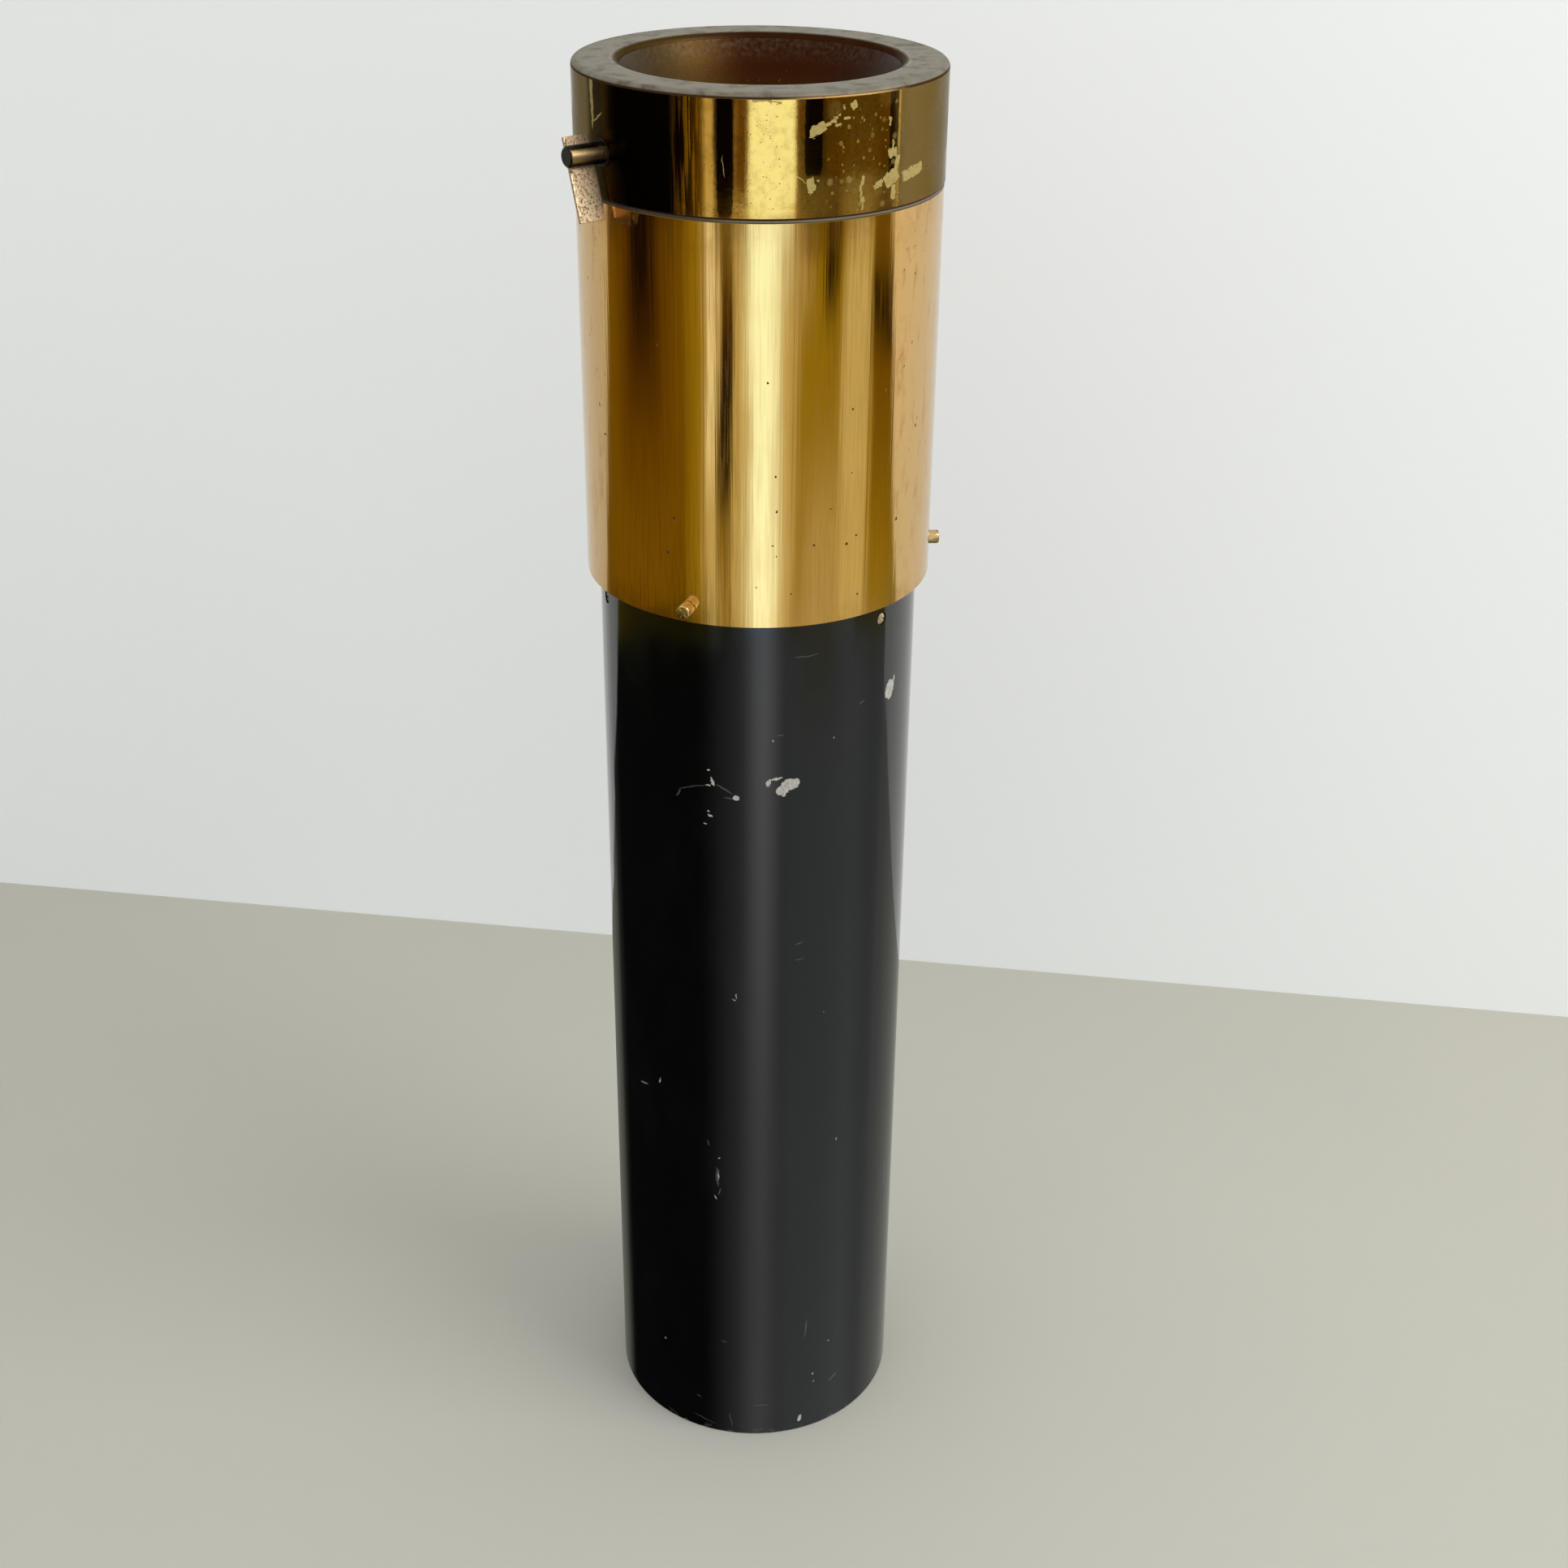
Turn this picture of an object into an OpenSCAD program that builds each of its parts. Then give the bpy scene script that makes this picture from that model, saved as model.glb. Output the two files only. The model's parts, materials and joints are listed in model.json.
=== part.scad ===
// Floor-standing ashtray: a black enamelled tube that holds an ash pail, under a brass head
// that lifts off. The head's dish is closed by a tipping flap, worked by a lever on its axle.
// Millimetres, +Z up, origin on the floor at the tube's centre, front towards -Y.
// Azimuths are degrees from the front, positive towards +X.

/* [Tube] */
// Outside diameter of the black tube
tube_d = 150; // [130:0.5:180]
// Wall of the black tube
tube_wall = 1.5; // [1:0.1:2.5]
// Height of tube that shows below the brass sleeve
tube_show_h = 489; // [380:1:600]
// How far the tube reaches up inside the sleeve
tube_overlap = 31; // [25:0.5:45]
// Chamfer on the tube's ends
tube_chamfer = 0.4; // [0.1:0.1:0.6]

/* [Base] */
// Height of the pan's floor above the ground
pan_recess = 8; // [7:0.5:14]
// Sheet of the base pan
pan_t = 1.5; // [1:0.1:2.5]
// Bend radius of the base pan, outside
pan_bend_r = 4; // [3:0.5:6]
// Height of the base pan's upright flange
pan_flange_h = 16; // [10:0.5:30]
// Radial clearance of the base pan in the tube
pan_clear = 0.1; // [0.05:0.05:0.3]
// Thickness of the iron ballast
ballast_h = 18; // [10:0.5:30]
// Radial clearance between the ballast and the pan's flange
ballast_clear = 2.4; // [1:0.1:8]
// Chamfer on the ballast's edges
ballast_chamfer = 3; // [2:0.5:5]
// Diameter of the ballast bolt
bolt_d = 8; // [6:0.5:9]
// Height of the bolt's head
bolt_head_h = 5.3; // [4:0.1:6]
// Width of the bolt's head and nut across flats
bolt_flats = 13; // [12:0.5:17]
// Height of the bolt's nut
nut_h = 6.5; // [5:0.1:8]
// Outside diameter of the washer under the nut
washer_d = 20; // [17:0.5:26]
// Thickness of the washer under the nut
washer_t = 1.6; // [1:0.1:2.5]
// Length of bolt past the nut
bolt_end = 3; // [1:0.5:6]

/* [Collar] */
// Radial thickness of the collar that carries the pail
collar_t = 3.4; // [3:0.1:5]
// Height of the collar
collar_h = 14; // [11:0.5:18]
// Radial clearance of the collar in the tube
collar_clear = 0.15; // [0.05:0.05:0.3]
// Height of the collar's screws below the sleeve's lower edge
collar_screw_drop = 9; // [7:0.5:14]
// Azimuth of the first collar screw
collar_screw_azimuth = 49.5; // [0:0.5:119]
// Number of collar screws
collar_screw_count = 3; // [2:1:6]
// Diameter of a small cheese-head screw's head
screw_head_d = 5.6; // [4.8:0.1:6.8]
// Radial clearance of the screw heads in the tube's holes
screw_head_clear = 0.3; // [0.2:0.05:0.6]
// Height of a small screw's head
screw_head_h = 1.3; // [0.9:0.1:1.8]
// Shank diameter of a small screw
screw_d = 2.9; // [2:0.1:3.4]
// Slot width in a small screw's head
slot_w = 0.9; // [0.6:0.1:1.2]
// Slot depth in a small screw's head
slot_depth = 0.6; // [0.3:0.1:0.8]

/* [Ash pail] */
// Sheet of the pail
pail_wall = 0.9; // [0.7:0.1:1.2]
// Radial clearance between the pail and its collar
pail_clear = 1; // [0.6:0.1:2]
// How much the pail's radius narrows towards its floor
pail_taper = 5; // [2:0.5:10]
// Radius of the rolled bead on the pail's rim
bead_r = 1.8; // [1.3:0.1:2.2]
// Space between the pail's bead and its collar
pail_seat_gap = 0.3; // [0.2:0.05:0.5]
// Space left between the ballast bolt and the pail
pail_foot_gap = 28; // [10:1:60]
// Height of the pail's floor above its lower edge
pail_floor_up = 4; // [2:0.5:8]
// Wire diameter of the pail's bail
bail_wire_d = 3; // [2.4:0.1:3.6]
// How much thinner the bail's turned-in ends are
bail_end_step = 0.2; // [0.1:0.1:0.4]
// Space between the lying bail and the pail's bead
bail_rest_gap = 0.3; // [0.2:0.05:0.5]
// Azimuth of the bail's pivot axis
bail_azimuth = 90; // [60:5:120]
// Radial clearance of the bail's ends in their ears
bail_clear = 0.1; // [0.05:0.01:0.1]
// Width of each ear that the bail hooks into
ear_w = 14; // [11:0.5:18]
// Sheet of the ears
ear_t = 1.5; // [1:0.1:2]
// Height of an ear above the bail's pivot
ear_top = 4; // [3.5:0.5:6]
// Length of an ear below the bail's pivot
ear_drop = 24; // [20:0.5:30]
// Corner cut on the ears
ear_chamfer = 3; // [1:0.5:3.5]
// Diameter of the ears' rivets
rivet_d = 3; // [2:0.5:3.5]
// Height of the rivets' heads
rivet_head_h = 0.9; // [0.6:0.1:1.2]
// Width of a rivet's head past its shank
rivet_head_step = 1.1; // [0.8:0.1:1.5]
// Distance between an ear's two rivets
rivet_pitch = 9; // [7:0.5:11]
// Distance of an ear's lower rivet from its foot
rivet_foot = 4.5; // [4:0.5:5]

/* [Sleeve] */
// Radial space between the tube and the sleeve
sleeve_gap = 4.55; // [4:0.05:7]
// Wall of the brass sleeve
sleeve_wall = 1.2; // [0.8:0.1:2]
// Height of the brass sleeve
sleeve_h = 181; // [150:1:220]
// Chamfer where sleeve and cap meet
seam_chamfer = 0.5; // [0.2:0.1:0.7]
// Sheet of the angle ring that rests on the tube
seat_t = 2; // [1.5:0.1:3]
// Height of the angle ring's upright
seat_h = 12; // [8:0.5:20]
// Radial space between the pail's rim and the angle ring
seat_clear = 0.6; // [0.4:0.1:1]
// Clearance of pieces soldered into the head
solder_gap = 0.1; // [0.05:0.05:0.2]

/* [Thumbscrews] */
// Azimuths of the three thumbscrews
thumb_azimuths = [-22.5, 98, 218]; // [-180:0.5:360]
// Length of bare stud outside the sleeve on each thumbscrew
neck_lengths = [0.3, 0.3, 0.3]; // [0.2:0.1:10]
// Height of the thumbscrews above the sleeve's lower edge
thumb_up = 7.5; // [7:0.5:14]
// Diameter of a thumbscrew's stud
stud_d = 3; // [2.5:0.1:4]
// Diameter of a thumbscrew's knob
knob_d = 6.5; // [5.5:0.1:9]
// Length of a thumbscrew's knob
knob_l = 6.2; // [5:0.1:10]
// Chamfer at both ends of the knob
knob_chamfer = 0.7; // [0.3:0.1:1.2]
// Width of the slot across the knob's end
knob_slot_w = 1.1; // [0.8:0.1:1.6]
// Depth of the slot across the knob's end
knob_slot_depth = 0.9; // [0.6:0.1:1.5]
// Turn of the slot on each thumbscrew
knob_turns = [40, 15, 70]; // [0:5:180]
// Space between the stud's tip and the tube
tip_gap = 0.3; // [0.2:0.05:0.5]
// Wall of the threaded boss behind each thumbscrew
boss_wall = 3; // [2:0.1:4]
// Space between the bosses and the tube
boss_gap = 1.2; // [0.6:0.1:2]

/* [Cap and dish] */
// Height of the brass cap
cap_h = 50; // [44:0.5:60]
// How far the cap stands proud of the sleeve
cap_overhang = 0.25; // [0:0.05:1]
// Sheet of the cap
cap_wall = 1.5; // [1.2:0.1:2]
// Radius on the cap's outer rim
rim_r = 2.4; // [2.2:0.1:5]
// Width of the cap's top, from its outside to the start of the lip
rim_w = 17; // [13:0.5:22]
// Radius of the lip that turns down into the dish
lip_r = 4; // [3:0.1:6]
// Sheet of the dish
dish_t = 1.2; // [0.8:0.1:1.8]
// Diameter of the dish's throat
throat_d = 84; // [70:0.5:92]
// Length of throat below the axle's centre
throat_below = 12; // [10.5:0.5:18]
// Space between the flap's top and the dish's lower edge
flap_under_bowl = 1; // [0.5:0.1:2]
// Height of the ring that joins cap and sleeve, in each of them
joint_ring_h = 7; // [5:0.5:9]
// Radial thickness of the joining ring
joint_ring_t = 1.4; // [1:0.1:2.5]

/* [Flap and lever] */
// Azimuth at which the axle leaves the cap
axle_azimuth = -54; // [-80:0.5:-30]
// Height of the axle above the cap's lower edge
axle_up = 19.5; // [17:0.5:24]
// Diameter of the axle
axle_d = 9; // [8:0.1:10]
// Running clearance round the axle
axle_clear = 0.05; // [0.02:0.01:0.09]
// Chamfer on the axle's outer end
axle_chamfer = 0.8; // [0.3:0.1:1.5]
// Height of the milled flat above the axle's centre
axle_flat = 1.5; // [1:0.1:2.5]
// Radial clearance of the flap in the throat
flap_clear = 1; // [0.7:0.1:2]
// Clearance round the axle where it crosses the throat's wall
throat_hole_clear = 0.5; // [0.3:0.1:1]
// Sheet of the flap
flap_t = 1.5; // [1:0.1:2]
// Distance of the flap's screws from its centre
flap_screw_at = 22; // [16:1:28]
// Length, width and height of the weight under the flap's front half
weight_size = [36, 8, 7]; // [5:0.5:45]
// Distance of the weight's middle from the axle
weight_at = 14; // [11:0.5:20]
// Distance of the weight's screws from its middle
weight_screw_at = 10; // [6:0.5:14]
// Space between cap and lever
lever_gap = 1.7; // [0.8:0.1:4]
// Width of the lever, along the axle
lever_w = 12.7; // [9:0.1:18]
// Sheet of the lever
lever_t = 1.5; // [1:0.1:2.5]
// Length of lever above the axle
lever_up = 8.6; // [6:0.1:14]
// Length of lever below the axle
lever_down = 26.8; // [18:0.1:40]
// Lean of the lever from upright, at rest
lever_lean = 19.4; // [0:0.1:35]
// Depth of the flat that the lever is soldered to
lever_seat = 0.5; // [0.3:0.1:1]
// Length of axle past the lever
axle_end = 2.9; // [2:0.1:8]
// Wall of the axle's bush
bush_wall = 1.45; // [1:0.05:2.5]
// How far the bush's flange stands out from its body
bush_flange_w = 2; // [1:0.1:3]
// Thickness of the bush's flange
bush_flange_t = 1.6; // [1:0.1:2.5]
// Length of the bush inside the cap
bush_l = 7; // [5:0.5:10]
// How far the bush stands proud of the cap
bush_proud = 0.3; // [0.1:0.1:0.6]
// Wall of the far bearing round the axle
cup_wall = 3.2; // [2:0.1:4]
// Length of axle that the far bearing holds
cup_hold = 8; // [5:0.5:10]
// Thickness of the far bearing's closed end
cup_end = 2.4; // [2:0.1:4]
// Wall of the stop collar on the axle
stop_collar_wall = 4.5; // [3.5:0.1:5.5]
// Length of the stop collar on the axle
stop_collar_l = 8; // [6:0.5:10]
// End play of the axle
end_play = 0.3; // [0.2:0.1:0.5]
// Width of the tab that the flap rests on
tab_w = 12; // [9:0.5:16]
// Reach of the tab under the flap
tab_reach = 6; // [4:0.5:8]
// Height of the tab's upright leg
tab_leg = 9; // [8:0.5:10]
// Sheet of the tab
tab_t = 1.2; // [0.8:0.1:2]
// Space between the flap and its tab
tab_gap = 0.3; // [0.2:0.05:0.5]

/* [Hidden] */
$fn = 96;

// Cuts reach this far past the faces they open
cut = 1;
// Radial clearance of screws and rivets in their holes
thread_clear = 0.05;
// Radial clearance of the ballast bolt in pan, ballast and washer
bolt_clear = 0.3;
// How much of a screw's shank stays short of the far side of its hole
screw_short = 0.5;

// Levels, from the floor up
pan_top_z = pan_recess + pan_t;
ballast_top_z = pan_top_z + ballast_h;
washer_top_z = ballast_top_z + washer_t;
bolt_top_z = washer_top_z + nut_h + bolt_end;
sleeve_z = tube_show_h;
tube_top_z = sleeve_z + tube_overlap;
collar_screw_z = sleeve_z - collar_screw_drop;
collar_z = collar_screw_z - collar_h / 2;
collar_top_z = collar_z + collar_h;
pail_foot_z = bolt_top_z + pail_foot_gap;
pail_floor_z = pail_foot_z + pail_floor_up;
bead_z = collar_top_z + pail_seat_gap + bead_r;
bail_z = bead_z + bead_r + bail_rest_gap + bail_wire_d / 2;
thumb_z = sleeve_z + thumb_up;
seam_z = sleeve_z + sleeve_h;
axle_z = seam_z + axle_up;
top_z = seam_z + cap_h;
lip_z = top_z - lip_r;
flap_z = axle_z + axle_flat;
flap_top_z = flap_z + flap_t;
throat_top_z = flap_top_z + flap_under_bowl;
throat_z = axle_z - throat_below;
tab_top_z = flap_z - tab_gap;

// Radii, from the tube inwards and then outwards
tube_r = tube_d / 2;
bore_r = tube_r - tube_wall;
pan_r = bore_r - pan_clear;
collar_r = bore_r - collar_clear;
collar_in_r = collar_r - collar_t;
pail_r = collar_in_r - pail_clear;
bead_ring_r = pail_r - pail_wall / 2 + bead_r;
bead_out_r = bead_ring_r + bead_r;
seat_in_r = bead_out_r + seat_clear;
sleeve_in_r = tube_r + sleeve_gap;
sleeve_r = sleeve_in_r + sleeve_wall;
solder_r = sleeve_in_r - solder_gap;
cap_r = sleeve_r + cap_overhang;
cap_in_r = cap_r - cap_wall;
joint_ring_r = min(sleeve_in_r, cap_in_r) - solder_gap;
lip_centre_r = cap_r - rim_w;
throat_r = throat_d / 2;
throat_out_r = throat_r + dish_t;
flap_r = throat_r - flap_clear;
axle_r = axle_d / 2;
bearing_r = axle_r + axle_clear;
bush_r = bearing_r + bush_wall;
bush_flange_r = bush_r + bush_flange_w;
screw_hole_r = screw_head_d / 2 + screw_head_clear;
screw_bore_r = screw_d / 2 + thread_clear;
rivet_bore_r = rivet_d / 2 + thread_clear;
stud_bore_r = stud_d / 2 + thread_clear;
bail_end_r = bail_wire_d / 2 - bail_end_step / 2;

// The dish is part of a sphere centred above it. The sphere passes through the throat's edge and
// touches the circle that the lip bends round, so that lip and dish meet without a step.
lip_rise = lip_z - throat_top_z;
lip_power = (lip_centre_r ^ 2 - throat_r ^ 2 + lip_rise ^ 2 - lip_r ^ 2) / 2;
lip_square = lip_rise ^ 2 - lip_r ^ 2;
bowl_rise = (lip_power * lip_rise - lip_r * sqrt(lip_power ^ 2 + lip_square * throat_r ^ 2)) / lip_square;
bowl_z = throat_top_z + bowl_rise;
bowl_r = sqrt(throat_r ^ 2 + bowl_rise ^ 2);
lip_turn = asin(lip_centre_r / (bowl_r + lip_r));

// Distances along the axle, outwards from the tube's centre line
lever_in = cap_r + lever_gap;
lever_out = lever_in + lever_w;
axle_out = lever_out + axle_end;
bush_in = cap_in_r - bush_l;
cup_bottom = cap_in_r - solder_gap - cup_end;
cup_mouth = cup_bottom - cup_hold;
axle_back = cup_bottom - end_play;
stop_collar_out = bush_in - end_play;
stop_collar_in = stop_collar_out - stop_collar_l;

// Where a flat of a given half width seats inside a curved wall
function seat_in_curve(wall_r, half_w) = sqrt(wall_r * wall_r - half_w * half_w) - solder_gap;

// Radius of the pail's outside at a level
function pail_r_at(z) = pail_r - pail_taper * (collar_top_z - z) / (collar_top_z - pail_foot_z);

// Azimuths of the collar's screws
function collar_azimuths() =
    [for (i = [0 : collar_screw_count - 1]) collar_screw_azimuth + i * 360 / collar_screw_count];

// A plain ring about the tube's centre line
module ring(out_r, in_r, z0, z1) {
    rotate_extrude() translate([in_r, z0]) square([out_r - in_r, z1 - z0]);
}

// A straight wall about the centre line, with chamfers on its outer lower and upper edges
module chamfered_wall(out_r, in_r, z0, z1, low, high) {
    rotate_extrude() polygon([
        [in_r, z0], [out_r - low, z0], [out_r, z0 + low],
        [out_r, z1 - high], [out_r - high, z1], [in_r, z1]
    ]);
}

// Turns children so that their +Z points outwards at an azimuth, +X down and +Y to a greater azimuth
module outwards(azimuth, z) {
    translate([0, 0, z]) rotate([0, 0, azimuth - 90]) rotate([0, 90, 0]) children();
}

// A bar or hole along local Z, between two distances from the centre line
module along(r, from, to) {
    translate([0, 0, from]) cylinder(r = r, h = to - from);
}

// A bent sheet's section, turned from +Y towards +X about its centre
module bend(out_r, sheet, turn = 90) {
    reach = 2 * out_r;
    intersection() {
        difference() {
            circle(out_r);
            circle(out_r - sheet);
        }
        polygon([[0, 0], [0, reach], [reach, reach], [reach * sin(turn), reach * cos(turn)]]);
    }
}

// A slotted cheese-head screw, head up, with its bearing face at z = 0
module slotted_screw(shank_l, turn) {
    rotate([0, 0, turn]) difference() {
        union() {
            along(screw_head_d / 2, 0, screw_head_h);
            along(screw_d / 2, -shank_l, screw_head_h / 2);
        }
        translate([-screw_head_d, -slot_w / 2, screw_head_h - slot_depth])
            cube([2 * screw_head_d, slot_w, slot_depth + cut]);
    }
}

// A hexagon of a given width across its flats
module hexagon(flats, h) {
    cylinder(d = flats / cos(30), h = h, $fn = 6);
}

// The black tube, with the holes that the collar's screw heads sit in
module outer_tube() {
    color("#17181a") difference() {
        chamfered_wall(tube_r, bore_r, 0, tube_top_z, tube_chamfer, tube_chamfer);
        for (a = collar_azimuths())
            outwards(a, collar_screw_z) along(screw_hole_r, bore_r - cut, tube_r + cut);
    }
}

// The pressed pan that closes the tube's foot, flange up
module base_pan() {
    hole_r = bolt_d / 2 + bolt_clear;
    bend_z = pan_recess + pan_bend_r;
    color("#55585c") rotate_extrude() union() {
        translate([hole_r, pan_recess]) square([pan_r - pan_bend_r - hole_r, pan_t]);
        translate([pan_r - pan_bend_r, bend_z]) mirror([0, 1]) bend(pan_bend_r, pan_t);
        translate([pan_r - pan_t, bend_z]) square([pan_t, pan_recess + pan_flange_h - bend_z]);
    }
}

// The iron disc that weights the foot
module ballast_disc() {
    r = pan_r - pan_t - ballast_clear;
    color("#3a3a3c") rotate_extrude() translate([0, pan_top_z]) polygon([
        [bolt_d / 2 + bolt_clear, 0], [r - ballast_chamfer, 0], [r, ballast_chamfer],
        [r, ballast_h - ballast_chamfer], [r - ballast_chamfer, ballast_h],
        [bolt_d / 2 + bolt_clear, ballast_h]
    ]);
}

// The bolt through pan and ballast, its head in the recess under the pan
module ballast_bolt() {
    color("#8d8f92") union() {
        translate([0, 0, pan_recess - bolt_head_h]) hexagon(bolt_flats, bolt_head_h);
        along(bolt_d / 2, pan_recess - bolt_head_h / 2, bolt_top_z);
    }
}

module ballast_washer() {
    color("#a2a4a6") ring(washer_d / 2, bolt_d / 2 + bolt_clear, ballast_top_z, washer_top_z);
}

module ballast_nut() {
    color("#8d8f92") translate([0, 0, washer_top_z]) difference() {
        hexagon(bolt_flats, nut_h);
        along(bolt_d / 2 + thread_clear, -cut, nut_h + cut);
    }
}

// The ring inside the tube that carries the pail's rim
module pail_collar() {
    color("#77797c") difference() {
        ring(collar_r, collar_in_r, collar_z, collar_top_z);
        for (a = collar_azimuths())
            outwards(a, collar_screw_z) along(screw_bore_r, collar_in_r - cut, collar_r + cut);
    }
}

// The slotted screws that hold the collar, each head inside its hole in the tube
module collar_screws() {
    turns = [82, 35, 110];
    azimuths = collar_azimuths();
    color("#b39a66") for (i = [0 : len(azimuths) - 1])
        outwards(azimuths[i], collar_screw_z) translate([0, 0, collar_r])
            slotted_screw(collar_t - screw_short, turns[i % len(turns)]);
}

// Levels of an ear's two rivets
function rivet_levels() = [for (i = [0, 1]) bail_z - ear_drop + rivet_foot + i * rivet_pitch];

// The bores for the ears' rivets, through pail and ears
module rivet_bores() {
    for (a = [bail_azimuth, bail_azimuth + 180])
        for (z = rivet_levels())
            outwards(a, z) along(rivet_bore_r, ear_out() - ear_t - cut, pail_r + cut);
}

// The sheet pail, tapered, with a raised floor and a rolled rim that rests on the collar
module ash_pail() {
    floor_top_z = pail_floor_z + pail_wall;
    color("#9b9d9e") difference() {
        union() {
            rotate_extrude() polygon([
                [pail_r - pail_wall, bead_z], [pail_r, bead_z], [pail_r, collar_top_z],
                [pail_r_at(pail_foot_z), pail_foot_z], [pail_r_at(pail_foot_z) - pail_wall, pail_foot_z],
                [pail_r_at(pail_floor_z) - pail_wall, pail_floor_z], [0, pail_floor_z], [0, floor_top_z],
                [pail_r_at(floor_top_z) - pail_wall, floor_top_z], [pail_r - pail_wall, collar_top_z]
            ]);
            rotate_extrude() translate([bead_ring_r, bead_z]) circle(bead_r);
        }
        rivet_bores();
    }
}

// Distance of an ear's outer face from the centre line
function ear_out() = seat_in_curve(pail_r_at(bail_z - ear_drop) - pail_wall, ear_w / 2);

// The two ears inside the pail's mouth, each with a hole for the bail's end
module bail_ears() {
    color("#8b8d8e") difference() {
        for (a = [bail_azimuth, bail_azimuth + 180])
            outwards(a, bail_z) translate([0, 0, ear_out() - ear_t]) linear_extrude(ear_t) polygon([
                [ear_drop, -ear_w / 2], [ear_drop, ear_w / 2],
                [ear_chamfer - ear_top, ear_w / 2], [-ear_top, ear_w / 2 - ear_chamfer],
                [-ear_top, ear_chamfer - ear_w / 2], [ear_chamfer - ear_top, -ear_w / 2]
            ]);
        for (a = [bail_azimuth, bail_azimuth + 180])
            outwards(a, bail_z) along(bail_end_r + bail_clear, ear_out() - ear_t - cut, pail_r + cut);
        rivet_bores();
    }
}

// The rivets that hold the ears, flush outside the pail
module ear_rivets() {
    in_r = ear_out() - ear_t;
    color("#a8aaab") for (a = [bail_azimuth, bail_azimuth + 180])
        for (z = rivet_levels())
            outwards(a, z) union() {
                along(rivet_d / 2, in_r - rivet_head_h / 2, pail_r_at(z) - thread_clear);
                along(rivet_d / 2 + rivet_head_step, in_r - rivet_head_h, in_r);
            }
}

// The wire bail, lying on the rim, with its ends turned in through the ears
module pail_bail() {
    end_in = ear_out() - ear_t - bail_wire_d;
    color("#8f9193") union() {
        translate([0, 0, bail_z]) rotate([0, 0, bail_azimuth - 90]) rotate_extrude(angle = 180)
            translate([bead_ring_r, 0]) circle(d = bail_wire_d);
        for (a = [bail_azimuth, bail_azimuth + 180])
            outwards(a, bail_z) along(bail_end_r, end_in, bead_ring_r + bail_end_r);
    }
}

// The polished sleeve round the tube's top, drilled for the thumbscrews
module brass_sleeve() {
    color("#c99a3d") difference() {
        chamfered_wall(sleeve_r, sleeve_in_r, sleeve_z, seam_z, seam_chamfer, seam_chamfer);
        for (a = thumb_azimuths)
            outwards(a, thumb_z) along(stud_bore_r, sleeve_in_r - cut, sleeve_r + cut);
    }
}

// The angle ring soldered in the sleeve, which stands the head on the tube
module seat_ring() {
    color("#a9843f") rotate_extrude() polygon([
        [seat_in_r, tube_top_z], [solder_r, tube_top_z], [solder_r, tube_top_z + seat_h],
        [solder_r - seat_t, tube_top_z + seat_h], [solder_r - seat_t, tube_top_z + seat_t],
        [seat_in_r, tube_top_z + seat_t]
    ]);
}

// The threaded bosses soldered inside the sleeve
module thumbscrew_bosses() {
    color("#a9843f") intersection() {
        for (a = thumb_azimuths)
            outwards(a, thumb_z) difference() {
                along(stud_d / 2 + boss_wall, tube_r + boss_gap, sleeve_r);
                along(stud_bore_r, tube_r, sleeve_r + cut);
            }
        cylinder(r = solder_r, h = seam_z);
    }
}

// A thumbscrew's plain knob, from z = 0 outwards, slotted across its end
module knob(turn) {
    r = knob_d / 2;
    difference() {
        rotate_extrude() polygon([
            [0, 0], [r - knob_chamfer, 0], [r, knob_chamfer], [r, knob_l - knob_chamfer],
            [r - knob_chamfer, knob_l], [0, knob_l]
        ]);
        rotate([0, 0, turn]) translate([-knob_d, -knob_slot_w / 2, knob_l - knob_slot_depth])
            cube([2 * knob_d, knob_slot_w, knob_slot_depth + cut]);
    }
}

// A thumbscrew: a stud whose tip stops just short of the tube, and its knob
module thumbscrew(i) {
    knob_in = sleeve_r + neck_lengths[i];
    color("#b98f3f") outwards(thumb_azimuths[i], thumb_z) union() {
        along(stud_d / 2, tube_r + tip_gap, knob_in + knob_l / 2);
        translate([0, 0, knob_in]) knob(knob_turns[i]);
    }
}

module thumbscrew_1() { thumbscrew(0); }
module thumbscrew_2() { thumbscrew(1); }
module thumbscrew_3() { thumbscrew(2); }

// The cap: wall, flat top and a lip that turns down into the dish
module cap_shell() {
    color("#7d5f2c") difference() {
        rotate_extrude() union() {
            polygon([
                [cap_in_r, seam_z], [cap_r - seam_chamfer, seam_z], [cap_r, seam_z + seam_chamfer],
                [cap_r, top_z - rim_r], [cap_in_r, top_z - rim_r]
            ]);
            translate([cap_r - rim_r, top_z - rim_r]) bend(rim_r, cap_wall);
            translate([lip_centre_r, top_z - cap_wall]) square([rim_w - rim_r, cap_wall]);
            translate([lip_centre_r, lip_z]) mirror([1, 0]) bend(lip_r, cap_wall, lip_turn);
        }
        outwards(axle_azimuth, axle_z) along(bush_r + solder_gap, cap_in_r - bush_l, cap_r + cut);
    }
}

// The ring inside the seam that holds cap and sleeve in line
module joint_ring() {
    color("#a9843f")
        ring(joint_ring_r, joint_ring_r - joint_ring_t, seam_z - joint_ring_h, seam_z + joint_ring_h);
}

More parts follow.
